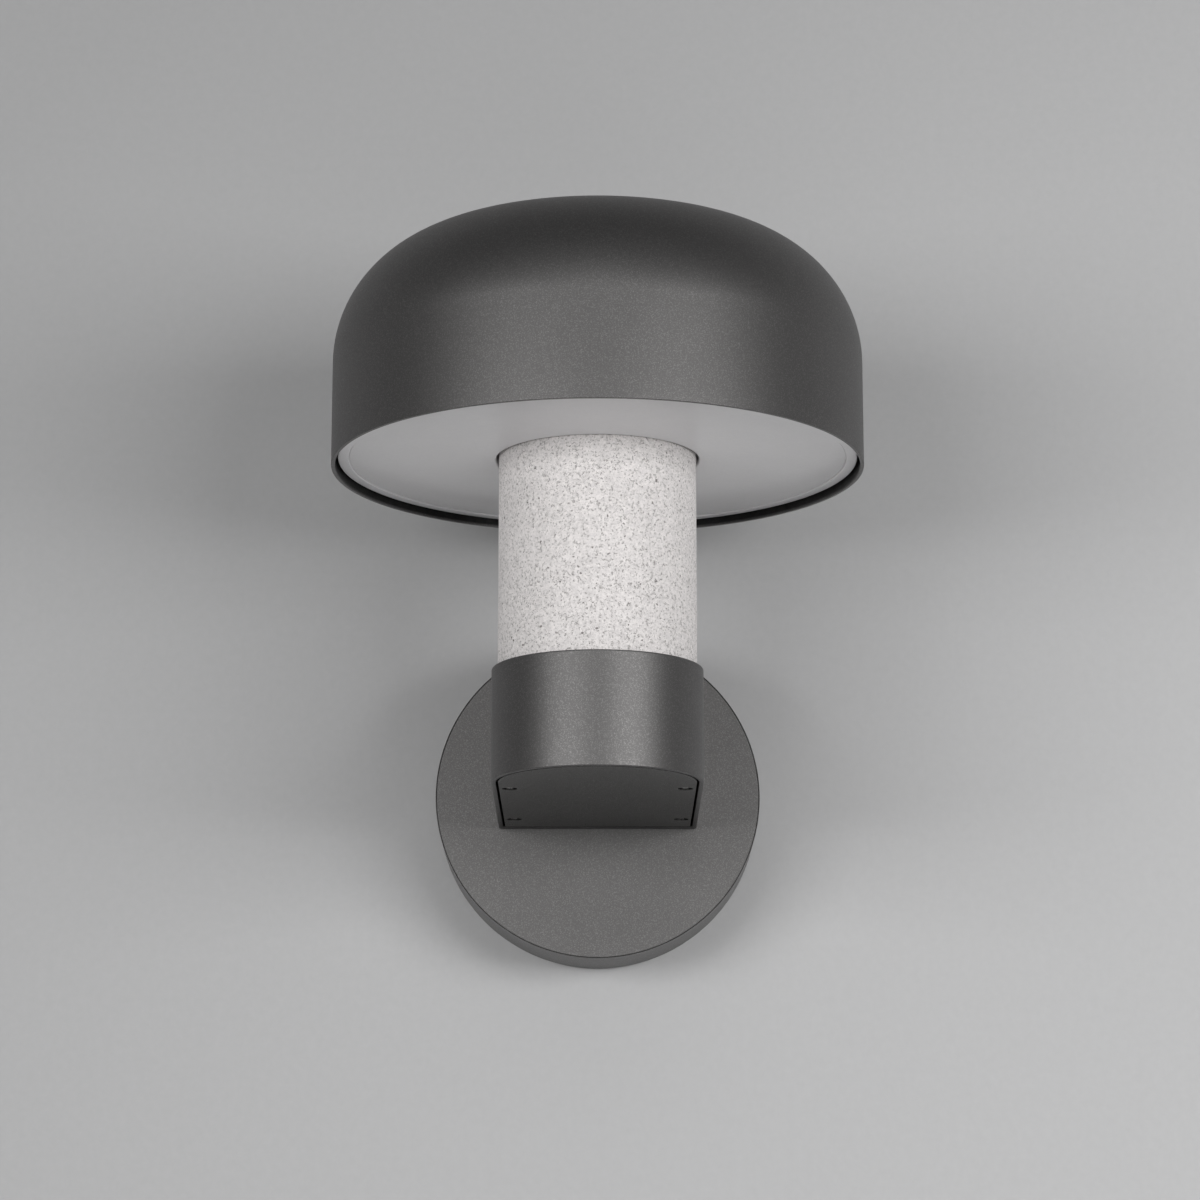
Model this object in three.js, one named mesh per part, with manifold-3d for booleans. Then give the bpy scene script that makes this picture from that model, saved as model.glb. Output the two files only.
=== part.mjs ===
import * as THREE from 'three';
import { mergeVertices } from 'three/addons/utils/BufferGeometryUtils.js';
import Module from 'manifold-3d';

// Outdoor wall light: a round wall plate carries a short D-shaped arm, a concrete stem stands
// on the arm, and a mushroom shade with an opal ring diffuser sits on the stem. One threaded
// tube runs up the middle and clamps shade, stem and arm together.
//
// Millimetres. The origin is the centre of the wall face, +Y runs into the wall, +Z is up,
// and the front of the light looks along -Y.

const wasm = await Module();
wasm.setup();

// ------------------------------------------------------------------ driving dimensions

const gap = 0.3; // air between pieces that touch

// wall plate
const plateRadius = 70;
const plateDepth = 40;
const plateWall = 2.2;
const plateFront = 3;
const revealWidth = 0.7; // step round the front edge
const revealDepth = 1;
const wallSealThickness = 2;
const wallSealInset = 0.6;

// bracket on the wall
const bracketThickness = 2.5;
const bracketWidth = 34;
const bracketClearance = 0.5; // to the inside of the plate
const tabWidth = 16;
const tabLength = 20;
const wallSlotSpacing = 76;
const wallSlotLength = 14;
const wallSlotWidth = 5.5;
const plateScrewOut = 13; // distance of the side screws from the wall
const earthX = 23;
const grommetFlange = 2;

// arm
const stemReach = 158; // wall to stem axis
const armTop = 31.6;
const armHeight = 45.8;
const armOverhang = 2.5; // arm stands out past the stem
const armWall = 1.9; // at the bottom rim
const armRoof = 5;
const armWeb = 5; // back wall
const ledgeWidth = 2.5; // ledge that the cover seals on
const armSealThickness = 1;
const armSealInset = 1.5;
const armScrewInset = 12; // from the arm's side, roof and bottom
const leadHoleRadius = 8;

// bottom cover
const coverThickness = 3;
const coverReveal = 1; // shadow gap round the cover
const coverSealThickness = 1.2;
const coverSealWidth = 1.5;
const coverScrewInset = 7.2; // from the arm's side
const coverScrewFront = 13.7; // behind the stem axis
const coverScrewBack = 24.9; // in front of the arm's back
const coverBossRadius = 3;
const counterboreRadius = 3.1;
const counterboreDepth = 1.9;

// stem
const stemRadius = 40;
const stemBore = 28; // radius
const stemShown = 86.8; // between the arm and the diffuser
const seatDepth = 2.2; // recess in the arm that the stem stands in
const seatClearance = 0.8;
const stemSealThickness = 1.2;
const stemSealInset = 1;

// threaded tube and its nut
const tubeRadius = 5;
const tubeBore = 3.5; // radius
const tubeClearance = 0.5;
const tubeTail = 2.5; // tube below the nut
const tubeGrip = 13; // tube inside the shade's boss
const washerRadius = 12;
const washerThickness = 1.5;
const nutRadius = 9.2; // over the corners
const nutHeight = 6;

// diffuser
const rimDrop = 3.8; // shade rim below the diffuser's face
const diffuserGap = 1.2; // to the shade and to the stem
const diffuserFloor = 2.5;
const diffuserWall = 2.2;
const diffuserHeight = 14;
const lipWidth = 4.3;
const lipDrop = 0.6;
const postRadius = 3.4;
const headSealThickness = 1.2;

// head plate and light board
const headPlateThickness = 3;
const headPlateClearance = 0.5;
const headPlateFlange = 6;
const headPlateFlangeWidth = 2.5;
const boardThickness = 1.6;
const boardClearance = 4;
const boardScrewInset = 5;
const chipCount = 20;
const chipSize = 3.5;
const chipHeight = 0.8;

// shade
const shadeRadius = 108;
const shadeWall = 1.5;
const shadeSide = 43.1; // straight part of the side
const shadeCorner = 51.8; // radius where the side turns into the crown
const crownRadius = 500;
const shadeBossRadius = 11;
const shadeBossLength = 20;
const spacerRadius = 8;

// driver and leads
const driverWidth = 44;
const driverHeight = 24;
const driverStandoff = 3;
const driverEar = 9;
const driverEarWidth = 20;
const driverEarThickness = 2;
const driverBackRoom = 10;
const driverFrontRoom = 8;
const mainsLeadRadius = 3;
const ledLeadRadius = 1.75;
const ledLeadBend = 8;
const ledLeadDrop = 12.8; // from the tube's lower end to where the lead leaves the driver
const leadSlotHeight = 20;

// terminal block
const terminalWidth = 30;
const terminalHeight = 16;
const terminalDepth = 15;
const terminalTop = 2; // its upper side, above the plate's centre
const terminalPitch = 9;

const screwRoom = 1.5; // past the end of a screw in a blind hole

// facets
const roundSides = 40;
const boreSides = 16;
const screwSides = 10;

// -------------------------------------------------------------------- derived places

const plateInner = plateRadius - plateWall;
const plateBack = wallSealThickness + gap; // plate's rear edge, out from the wall
const armBackY = -(plateDepth + gap + armSealThickness + gap);
const stemY = -stemReach;
const webY = armBackY - armWeb;
const armHalf = stemRadius + armOverhang;
const armBottom = armTop - armHeight;
const roofUnder = armTop - armRoof;
const armInnerHalf = armHalf - armWall - ledgeWidth;
const coverHalf = armHalf - armWall - coverReveal;
const coverBackY = webY - coverReveal;
const coverTop = armBottom + coverThickness;
const ledgeZ = coverTop + gap + coverSealThickness + gap;
const coverScrewX = armHalf - coverScrewInset;
const coverScrewYs = [stemY + coverScrewFront, armBackY - coverScrewBack];

const seatZ = armTop - seatDepth;
const stemSealZ = seatZ + gap;
const stemBottom = stemSealZ + stemSealThickness + gap;
const diffuserFace = armTop + stemShown;
const diffuserTop = diffuserFace + diffuserHeight;
const headPlateZ = diffuserTop + gap + headSealThickness + gap;
const headPlateTop = headPlateZ + headPlateThickness;
const stemTop = headPlateZ - gap - stemSealThickness - gap;

const shadeInner = shadeRadius - shadeWall;
const rimZ = diffuserFace - rimDrop;
const sideTop = rimZ + shadeSide;
const crownCentre = sideTop
  - Math.sqrt((crownRadius - shadeCorner) ** 2 - (shadeRadius - shadeCorner) ** 2);
const crownInside = crownCentre + crownRadius - shadeWall;
const bossBottom = crownInside - shadeBossLength;

const diffuserOuter = shadeInner - diffuserGap;
const diffuserInner = stemRadius + diffuserGap;
const postRing = diffuserOuter - diffuserWall - postRadius + gap;
const boardInner = diffuserInner + diffuserWall + boardClearance;
const boardOuter = postRing - postRadius - boardClearance / 2;
const boardTop = headPlateZ - gap;
const boardBottom = boardTop - boardThickness;
const boardScrewRing = boardInner + boardScrewInset;
const chipRing = (boardInner + boardOuter) / 2;
const boardLeadRing = chipRing - 2 * ledLeadBend;

const washerZ = roofUnder - gap - washerThickness;
const nutZ = washerZ - gap - nutHeight;
const tubeBottom = nutZ - tubeTail;
const tubeTop = bossBottom + tubeGrip;
const leadSlotZ = headPlateTop + gap + ledLeadBend;

const driverTop = roofUnder - driverStandoff - gap;
const driverBottom = driverTop - driverHeight;
const driverBackY = webY - driverBackRoom;
const driverFrontY = stemY + washerRadius + driverFrontRoom;
const driverEarYs = [driverBackY - driverEar / 2, driverFrontY + driverEar / 2];
const mainsZ = (driverTop + driverBottom) / 2;
const ledLeadZ = tubeBottom - ledLeadDrop;
const armScrewXs = [-1, 1].map((side) => side * (armHalf - armScrewInset));
const armScrewZs = [armBottom + armScrewInset, armTop - armScrewInset];

// The wall parts' own frame: x across, y up, z out from the wall.
const bracketReach = plateInner - bracketClearance;
const tabFace = Math.sqrt(bracketReach ** 2 - (tabWidth / 2) ** 2);
const tabInner = tabFace - bracketThickness;
const terminalBack = bracketThickness + gap;
const terminalFace = terminalBack + terminalDepth;
const terminalXs = [-terminalPitch, 0, terminalPitch];
const terminalScrewY = terminalTop - terminalHeight / 2;
const plateFrontBack = plateDepth - plateFront;

// ------------------------------------------------------------------ screws, one size each

const armScrew = { head: 4.5, headHeight: 4, shank: 2.5, length: 9.5, socket: 2.3 };
const coverScrew = { head: 2.3, headHeight: 1.4, shank: 1.25, length: 11, socket: 1 };
const plateScrew = { head: 3.7, headHeight: 2.2, shank: 2, length: 9, socket: 1.7 };
const boardScrew = { head: 2.7, headHeight: 1.8, shank: 1.5, length: 4.4, socket: 1.2 };
const postScrew = { head: 2.7, headHeight: 1.8, shank: 1.5, length: 11, socket: 1.2 };
const driverScrew = { head: 2.7, headHeight: 1.8, shank: 1.5, length: 5, socket: 1.2 };
const terminalScrew = { head: 2.2, headHeight: 1.5, shank: 1.4, length: 6, socket: 1 };
const earthScrew = { head: 4, headHeight: 2.6, shank: 2, length: 1.8, socket: 1.8 };

// ----------------------------------------------------------------------- materials

const finish = (color, roughness, metalness) =>
  new THREE.MeshStandardMaterial({ color, roughness, metalness });

const anthracite = finish(0x4b4d50, 0.55, 0.6);
const coverPaint = finish(0x3b3d40, 0.45, 0.6);
const concrete = finish(0xb4b0a8, 0.9, 0);
const opal = finish(0xe9e9ea, 0.4, 0);
const rubber = finish(0x1c1c1d, 0.85, 0);
const steel = finish(0x9a9da1, 0.35, 1);
const aluminium = finish(0xb9bcbf, 0.4, 1);
const brass = finish(0xb8964a, 0.35, 1);
const driverCase = finish(0xd9dadb, 0.5, 0);
const boardWhite = finish(0xf0f0ee, 0.5, 0);
const blockGrey = finish(0x8f9296, 0.6, 0);
const sheath = finish(0x222224, 0.7, 0);

// ------------------------------------------------------------------------- helpers

// Shared vertices merged and collapsed triangles dropped: one closed surface.
function weld(geometry) {
  const bare = geometry.clone();
  bare.deleteAttribute('normal');
  bare.deleteAttribute('uv');
  const merged = mergeVertices(bare, 1e-4);
  const kept = [];
  const index = merged.index.array;
  for (let i = 0; i < index.length; i += 3) {
    const [a, b, c] = [index[i], index[i + 1], index[i + 2]];
    if (a !== b && b !== c && c !== a) kept.push(a, b, c);
  }
  merged.setIndex(kept);
  return merged;
}

function toSolid(geometry) {
  const closed = weld(geometry);
  return new wasm.Manifold(new wasm.Mesh({
    numProp: 3,
    vertProperties: new Float32Array(closed.attributes.position.array),
    triVerts: new Uint32Array(closed.index.array),
  }));
}

function toGeometry(solid) {
  const { vertProperties, triVerts } = solid.getMesh();
  const geometry = new THREE.BufferGeometry();
  geometry.setAttribute('position', new THREE.BufferAttribute(vertProperties, 3));
  geometry.setIndex(new THREE.BufferAttribute(triVerts, 1));
  geometry.computeVertexNormals();
  return geometry;
}

const cut = (base, tools) =>
  toGeometry(tools.reduce((solid, tool) => solid.subtract(toSolid(tool)), toSolid(base)));

const join = (base, others) =>
  toGeometry(others.reduce((solid, other) => solid.add(toSolid(other)), toSolid(base)));

// A turned piece about Z. The profile is [radius, z] pairs, anticlockwise: up the outside.
function turned(profile, sides = roundSides) {
  const points = profile.map(([radius, z]) => new THREE.Vector2(radius, z));
  return new THREE.LatheGeometry(points, sides).rotateX(Math.PI / 2);
}

// A ring or, with no bore, a disc.
function ring(outer, bore, z0, z1, sides = roundSides) {
  const inside = bore > 0 ? [[bore, z1], [bore, z0], [outer, z0]] : [[0, z1]];
  const start = bore > 0 ? [] : [[0, z0]];
  return turned([...start, [outer, z0], [outer, z1], ...inside], sides);
}

function block(x0, x1, y0, y1, z0, z1) {
  const box = new THREE.BoxGeometry(x1 - x0, y1 - y0, z1 - z0);
  return box.translate((x0 + x1) / 2, (y0 + y1) / 2, (z0 + z1) / 2);
}

// Plan of the arm and what follows it: round the stem in front, square at the back.
function armPlan(half, backY) {
  const plan = new THREE.Shape();
  plan.moveTo(half, backY);
  plan.lineTo(half, stemY);
  plan.absarc(0, stemY, half, 0, -Math.PI, true);
  plan.lineTo(-half, backY);
  plan.closePath();
  return plan;
}

function slab(plan, z0, z1) {
  const options = { depth: z1 - z0, bevelEnabled: false, curveSegments: roundSides / 4 };
  return new THREE.ExtrudeGeometry(plan, options).translate(0, 0, z0);
}

// A rod or hole from z0 to z1 at (x, y).
const post = (x, y, radius, z0, z1, sides = boreSides) =>
  ring(radius, 0, z0, z1, sides).translate(x, y, 0);

// A rod or hole along Y from y0 to y1 at (x, z).
const crossPost = (x, z, radius, y0, y1, sides = boreSides) =>
  ring(radius, 0, -y1, -y0, sides).rotateX(Math.PI / 2).translate(x, 0, z);

// A screw on Z: its head stands on z = 0 and its shank goes down.
function screwShape({ head, headHeight, shank, length, socket }) {
  return turned([
    [0, -length], [shank, -length], [shank, 0], [head, 0],
    [head, headHeight], [socket, headHeight], [socket, headHeight / 2], [0, headHeight / 2],
  ], screwSides);
}

// A countersunk screw on Z: the top of its head is at z = 0.
function countersunkShape({ head, headHeight, shank, length, socket }) {
  return turned([
    [0, -length], [shank, -length], [shank, -headHeight], [head, 0],
    [socket, 0], [socket, -headHeight / 2], [0, -headHeight / 2],
  ], screwSides);
}

function leadAlong(points, radius, steps) {
  const section = new THREE.Shape();
  section.absarc(0, 0, radius, 0, 2 * Math.PI, false);
  const path = new THREE.CatmullRomCurve3(points.map((p) => new THREE.Vector3(...p)));
  const options = { extrudePath: path, steps, bevelEnabled: false, curveSegments: 4 };
  return new THREE.ExtrudeGeometry(section, options);
}

const aroundRing = (count, radius, start, make) =>
  Array.from({ length: count }, (_, i) => {
    const angle = start + (2 * Math.PI * i) / count;
    return make(radius * Math.cos(angle), radius * Math.sin(angle), i, angle);
  });

const light = new THREE.Group();

// Closes a piece and places it in a group, with its position and turn.
function place(group, name, geometry, material, position = [0, 0, 0], turn = [0, 0, 0]) {
  const mesh = new THREE.Mesh(toGeometry(toSolid(geometry)), material);
  mesh.name = name;
  mesh.position.set(...position);
  mesh.rotation.set(...turn);
  group.add(mesh);
}

// ---------------------------------------------------------------------- wall plate

const wallParts = new THREE.Group();
wallParts.rotation.x = Math.PI / 2;
light.add(wallParts);

function slotHole(x) {
  const end = (wallSlotLength - wallSlotWidth) / 2;
  const radius = wallSlotWidth / 2;
  const hole = new THREE.Path();
  hole.absarc(x + end, 0, radius, -Math.PI / 2, Math.PI / 2, false);
  hole.absarc(x - end, 0, radius, Math.PI / 2, (3 * Math.PI) / 2, false);
  hole.closePath();
  return hole;
}

function wallBracket() {
  const halfWidth = bracketWidth / 2;
  const corner = Math.sqrt(bracketReach ** 2 - halfWidth ** 2);
  const outline = new THREE.Shape([
    [-corner, -halfWidth], [corner, -halfWidth], [tabFace, -tabWidth / 2],
    [tabFace, tabWidth / 2], [corner, halfWidth], [-corner, halfWidth],
    [-tabFace, tabWidth / 2], [-tabFace, -tabWidth / 2],
  ].map(([x, y]) => new THREE.Vector2(x, y)));
  outline.holes = [-1, 1].map((side) => slotHole((side * wallSlotSpacing) / 2));
  const tabs = [-1, 1].map((side) => block(
    Math.min(side * tabInner, side * tabFace), Math.max(side * tabInner, side * tabFace),
    -tabWidth / 2, tabWidth / 2, bracketThickness / 2, tabLength,
  ));
  const strap = join(slab(outline, 0, bracketThickness), tabs);
  const threads = ring(plateScrew.shank + gap, 0, -plateRadius, plateRadius, boreSides)
    .rotateY(Math.PI / 2)
    .translate(0, 0, plateScrewOut);
  const earthHole = post(earthX, 0, earthScrew.shank + gap, -1, tabLength);
  return cut(strap, [threads, earthHole]);
}

function wallPlate() {
  const face = plateDepth;
  const cup = turned([
    [plateInner, plateBack], [plateRadius, plateBack],
    [plateRadius, face - revealDepth], [plateRadius - revealWidth, face - revealDepth],
    [plateRadius - revealWidth, face], [0, face],
    [0, plateFrontBack], [plateInner, plateFrontBack],
    [plateInner, plateBack],
  ]);
  const screwHoles = armScrewXs.flatMap((x) => armScrewZs.map((z) =>
    post(x, z, armScrew.shank + gap, plateFrontBack - 1, face + 1)));
  const leadHole = post(0, mainsZ, leadHoleRadius, plateFrontBack - 1, face + 1);
  const sink = turned([
    [0, -2 * plateWall], [plateScrew.shank + gap, -2 * plateWall],
    [plateScrew.shank + gap, -plateScrew.headHeight],
    [plateScrew.head + gap, 0], [plateScrew.head + gap, 1], [0, 1],
  ], boreSides);
  const sinks = [-1, 1].map((side) => sink.clone()
    .rotateY((side * Math.PI) / 2)
    .translate(side * plateRadius, 0, plateScrewOut));
  return cut(cup, [...screwHoles, leadHole, ...sinks]);
}

function terminalBlock() {
  const body = block(-terminalWidth / 2, terminalWidth / 2,
    terminalTop - terminalHeight, terminalTop, terminalBack, terminalFace);
  const wellDepth = terminalScrew.headHeight + terminalScrew.length + screwRoom;
  const wells = terminalXs.map((x) => post(x, terminalScrewY, terminalScrew.head + gap,
    terminalFace - wellDepth, terminalFace + 1));
  return cut(body, wells);
}

// Sits in the plate's lead hole, with its flange on the inside.
function plateGrommet() {
  const bore = mainsLeadRadius + gap;
  const flange = leadHoleRadius + grommetFlange;
  const shoulder = plateFrontBack - gap;
  return turned([
    [bore, shoulder - grommetFlange], [flange, shoulder - grommetFlange], [flange, shoulder],
    [leadHoleRadius - gap, shoulder], [leadHoleRadius - gap, plateDepth],
    [bore, plateDepth], [bore, shoulder - grommetFlange],
  ], boreSides);
}

place(wallParts, 'wall_bracket', wallBracket(), steel);
place(wallParts, 'wall_seal',
  ring(plateRadius - wallSealInset, plateInner, 0, wallSealThickness), rubber);
place(wallParts, 'wall_plate', wallPlate(), anthracite);
for (const [side, name] of [[-1, 'left'], [1, 'right']]) {
  place(wallParts, `plate_screw_${name}`, countersunkShape(plateScrew), steel,
    [side * plateRadius, 0, plateScrewOut], [0, (side * Math.PI) / 2, 0]);
}
place(wallParts, 'terminal_block', terminalBlock(), blockGrey);
terminalXs.forEach((x, i) => {
  place(wallParts, `terminal_screw_${i + 1}`, screwShape(terminalScrew), brass,
    [x, terminalScrewY, terminalFace - terminalScrew.headHeight]);
});
place(wallParts, 'earth_screw', screwShape(earthScrew), brass,
  [earthX, 0, bracketThickness + gap]);
place(wallParts, 'plate_grommet', plateGrommet(), rubber, [0, mainsZ, 0]);

armScrewXs.forEach((x, i) => armScrewZs.forEach((z, j) => {
  place(wallParts, `arm_screw_${2 * i + j + 1}`, screwShape(armScrew), steel,
    [x, z, plateFrontBack - gap], [Math.PI, 0, 0]);
}));

// --------------------------------------------------------------------------- arm

function armSeal() {
  const half = armHalf - armSealInset;
  const outline = block(-half, half, armBackY + gap, armBackY + gap + armSealThickness,
    armBottom + armSealInset, armTop - armSealInset);
  const holes = armScrewXs.flatMap((x) => armScrewZs.map((z) =>
    crossPost(x, z, armScrew.shank + 2 * gap, armBackY - 1, -plateDepth + 1)));
  const leadHole = crossPost(0, mainsZ, leadHoleRadius, armBackY - 1, -plateDepth + 1);
  return cut(outline, [...holes, leadHole]);
}

const coverScrewPlaces = coverScrewYs.flatMap((y) =>
  [-1, 1].map((side) => [side * coverScrewX, y]));

function armHousing() {
  const shell = slab(armPlan(armHalf, armBackY), armBottom, armTop);
  const rimPocket = slab(armPlan(armHalf - armWall, webY), armBottom - 1, ledgeZ);
  const cavity = slab(armPlan(armInnerHalf, webY), armBottom - 1, roofUnder);
  const seat = post(0, stemY, stemRadius + seatClearance, seatZ, armTop + 1, roundSides);
  const hollow = cut(shell, [rimPocket, cavity, seat]);
  const coverBosses = coverScrewPlaces.map(([x, y]) =>
    post(x, y, coverBossRadius, coverTop + gap, roofUnder + 1));
  const driverBosses = driverEarYs.map((y) =>
    post(0, y, driverEar / 2, driverTop + gap, roofUnder + 1));
  const withBosses = join(hollow, [...coverBosses, ...driverBosses]);
  const coverHoles = coverScrewPlaces.map(([x, y]) =>
    post(x, y, coverScrew.shank + gap, armBottom,
      armBottom + counterboreDepth + coverScrew.length + screwRoom));
  const driverHoles = driverEarYs.map((y) =>
    post(0, y, driverScrew.shank + gap, driverTop,
      driverTop - driverEarThickness + driverScrew.length + screwRoom));
  const webHoles = armScrewXs.flatMap((x) => armScrewZs.map((z) =>
    crossPost(x, z, armScrew.shank + gap, webY - 1, armBackY + 1)));
  const leadHole = crossPost(0, mainsZ, leadHoleRadius, webY - 1, armBackY + 1);
  const tubeHole = post(0, stemY, tubeRadius + tubeClearance, roofUnder - 1, armTop + 1);
  return cut(withBosses, [...coverHoles, ...driverHoles, ...webHoles, leadHole, tubeHole]);
}

function coverSeal() {
  const outer = armHalf - armWall - gap;
  const inner = outer - coverSealWidth;
  const band = slab(armPlan(outer, webY - gap), coverTop + gap,
    coverTop + gap + coverSealThickness);
  const inside = slab(armPlan(inner, webY - gap - coverSealWidth), coverTop, ledgeZ);
  return cut(band, [inside]);
}

function bottomCover() {
  const plate = slab(armPlan(coverHalf, coverBackY), armBottom, coverTop);
  const holes = coverScrewPlaces.flatMap(([x, y]) => [
    post(x, y, counterboreRadius, armBottom - 1, armBottom + counterboreDepth),
    post(x, y, coverScrew.shank + gap, armBottom, coverTop + 1),
  ]);
  return cut(plate, holes);
}

function driver() {
  const halfWidth = driverWidth / 2;
  const halfEar = driverEarWidth / 2;
  const body = block(-halfWidth, halfWidth, driverFrontY + driverEar, driverBackY - driverEar,
    driverBottom, driverTop);
  const ears = block(-halfEar, halfEar, driverFrontY, driverBackY,
    driverTop - driverEarThickness, driverTop);
  const holes = driverEarYs.map((y) => post(0, y, driverScrew.shank + gap,
    driverTop - driverEarThickness - 1, driverTop + 1));
  return cut(join(body, [ears]), holes);
}

place(light, 'arm_seal', armSeal(), rubber);
place(light, 'arm_housing', armHousing(), anthracite);
place(light, 'cover_seal', coverSeal(), rubber);
place(light, 'bottom_cover', bottomCover(), coverPaint);
coverScrewPlaces.forEach(([x, y], i) => {
  place(light, `cover_screw_${i + 1}`, screwShape(coverScrew), steel,
    [x, y, armBottom + counterboreDepth - gap], [Math.PI, 0, 0]);
});
place(light, 'led_driver', driver(), driverCase);
driverEarYs.forEach((y, i) => {
  place(light, `driver_screw_${i + 1}`, screwShape(driverScrew), steel,
    [0, y, driverTop - driverEarThickness - gap], [Math.PI, 0, 0]);
});

// The mains lead rises out of the terminal block and turns into the arm.
const mainsStartY = -(terminalBack + terminalDepth / 2);
const mainsRise = mainsZ - terminalTop - gap;
place(light, 'mains_lead', leadAlong([
  [0, mainsStartY, terminalTop + gap],
  [0, mainsStartY, terminalTop + gap + 0.2 * mainsRise],
  [0, mainsStartY - 0.15 * mainsRise, terminalTop + gap + 0.6 * mainsRise],
  [0, mainsStartY - 0.55 * mainsRise, mainsZ - 0.08 * mainsRise],
  [0, mainsStartY - 1.2 * mainsRise, mainsZ],
  [0, (mainsStartY - 1.2 * mainsRise + driverBackY) / 2, mainsZ],
  [0, driverBackY - driverEar + gap, mainsZ],
], mainsLeadRadius, 16), sheath);

// ------------------------------------------------------------------ stem and clamp

// Everything that is turned about the stem's axis.
const column = new THREE.Group();
column.position.y = stemY;
light.add(column);

const tubeSlot = block(0, 2 * spacerRadius, -ledLeadRadius - 2 * gap, ledLeadRadius + 2 * gap,
  leadSlotZ - leadSlotHeight / 4, leadSlotZ + leadSlotHeight);

place(column, 'stem_foot_seal', ring(stemRadius - stemSealInset, stemBore + stemSealInset,
  stemSealZ, stemSealZ + stemSealThickness), rubber);
place(column, 'concrete_stem', ring(stemRadius, stemBore, stemBottom, stemTop), concrete);
place(column, 'stem_top_seal', ring(stemRadius - stemSealInset, stemBore + stemSealInset,
  stemTop + gap, stemTop + gap + stemSealThickness), rubber);
place(column, 'clamp_tube',
  cut(ring(tubeRadius, tubeBore, tubeBottom, tubeTop, boreSides), [tubeSlot]), steel);
place(column, 'clamp_washer', ring(washerRadius, tubeRadius + gap, washerZ,
  washerZ + washerThickness, boreSides), steel);
place(column, 'clamp_nut', cut(ring(nutRadius, 0, nutZ, nutZ + nutHeight, 6),
  [post(0, 0, tubeRadius + gap, nutZ - 1, nutZ + nutHeight + 1)]), steel);

// The second lead leaves the driver, turns up into the tube, comes out of its slot above the
// head plate and turns down to the light board.
const ledStartY = driverFrontY + driverEar - stemY;
place(column, 'led_lead', leadAlong([
  [0, ledStartY - gap, ledLeadZ],
  [0, 0.6 * ledStartY, ledLeadZ],
  [0, 0.22 * ledStartY, ledLeadZ + 0.25 * ledLeadBend],
  [0, 0, tubeBottom - 0.4 * ledLeadBend],
  [0, 0, tubeBottom + ledLeadBend],
  [0, 0, (tubeBottom + leadSlotZ) / 2],
  [0, 0, leadSlotZ - ledLeadBend],
  [0, 0, leadSlotZ],
  [0.3 * ledLeadBend, 0, leadSlotZ + 0.7 * ledLeadBend],
  [ledLeadBend, 0, leadSlotZ + ledLeadBend],
  [boardLeadRing / 2, 0, leadSlotZ + ledLeadBend],
  [boardLeadRing - ledLeadBend, 0, leadSlotZ + ledLeadBend],
  [boardLeadRing - 0.3 * ledLeadBend, 0, leadSlotZ + 0.7 * ledLeadBend],
  [boardLeadRing, 0, leadSlotZ],
  [boardLeadRing, 0, headPlateZ],
], ledLeadRadius, 40), sheath);

// --------------------------------------------------------------------- lamp head

const boardScrewPlaces = aroundRing(4, boardScrewRing, Math.PI / 4, (x, y) => [x, y]);
const postPlaces = aroundRing(3, postRing, Math.PI / 2, (x, y) => [x, y]);
const boardLeadHole = 2 * ledLeadRadius;

function headPlate() {
  const outer = shadeInner - headPlateClearance;
  const pan = turned([
    [tubeRadius + tubeClearance, headPlateZ], [outer, headPlateZ],
    [outer, headPlateTop + headPlateFlange],
    [outer - headPlateFlangeWidth, headPlateTop + headPlateFlange],
    [outer - headPlateFlangeWidth, headPlateTop],
    [tubeRadius + tubeClearance, headPlateTop],
    [tubeRadius + tubeClearance, headPlateZ],
  ]);
  const holes = [...boardScrewPlaces, ...postPlaces].map(([x, y]) =>
    post(x, y, postScrew.shank + gap, headPlateZ - 1, headPlateTop + 1, screwSides));
  const leadHole = post(boardLeadRing, 0, boardLeadHole, headPlateZ - 1, headPlateTop + 1);
  return cut(pan, [...holes, leadHole]);
}

function ledBoard() {
  const board = ring(boardOuter, boardInner, boardBottom, boardTop);
  const chips = aroundRing(chipCount, chipRing, Math.PI / chipCount, (x, y, i, angle) =>
    block(-chipSize / 2, chipSize / 2, -chipSize / 2, chipSize / 2,
      boardBottom - chipHeight, boardBottom + boardThickness / 2)
      .rotateZ(angle)
      .translate(x, y, 0));
  const holes = boardScrewPlaces.map(([x, y]) =>
    post(x, y, boardScrew.shank + gap, boardBottom - 1, boardTop + 1, screwSides));
  return cut(join(board, chips), holes);
}

function diffuser() {
  const floorTop = diffuserFace + diffuserFloor;
  const tray = turned([
    [diffuserInner, diffuserFace], [diffuserOuter - lipWidth, diffuserFace],
    [diffuserOuter - lipWidth, diffuserFace - lipDrop], [diffuserOuter, diffuserFace - lipDrop],
    [diffuserOuter, diffuserTop], [diffuserOuter - diffuserWall, diffuserTop],
    [diffuserOuter - diffuserWall, floorTop], [diffuserInner + diffuserWall, floorTop],
    [diffuserInner + diffuserWall, diffuserTop], [diffuserInner, diffuserTop],
    [diffuserInner, diffuserFace],
  ]);
  const posts = postPlaces.map(([x, y]) =>
    post(x, y, postRadius, diffuserFace + diffuserFloor / 2, diffuserTop));
  const pilots = postPlaces.map(([x, y]) =>
    post(x, y, postScrew.shank + gap, floorTop, diffuserTop + 1, screwSides));
  return cut(join(tray, posts), pilots);
}

function arcPoints(centreRadius, centreZ, radius, from, to, steps) {
  return Array.from({ length: steps + 1 }, (_, i) => {
    const angle = from + ((to - from) * i) / steps;
    return [centreRadius + radius * Math.cos(angle), centreZ + radius * Math.sin(angle)];
  });
}

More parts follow.
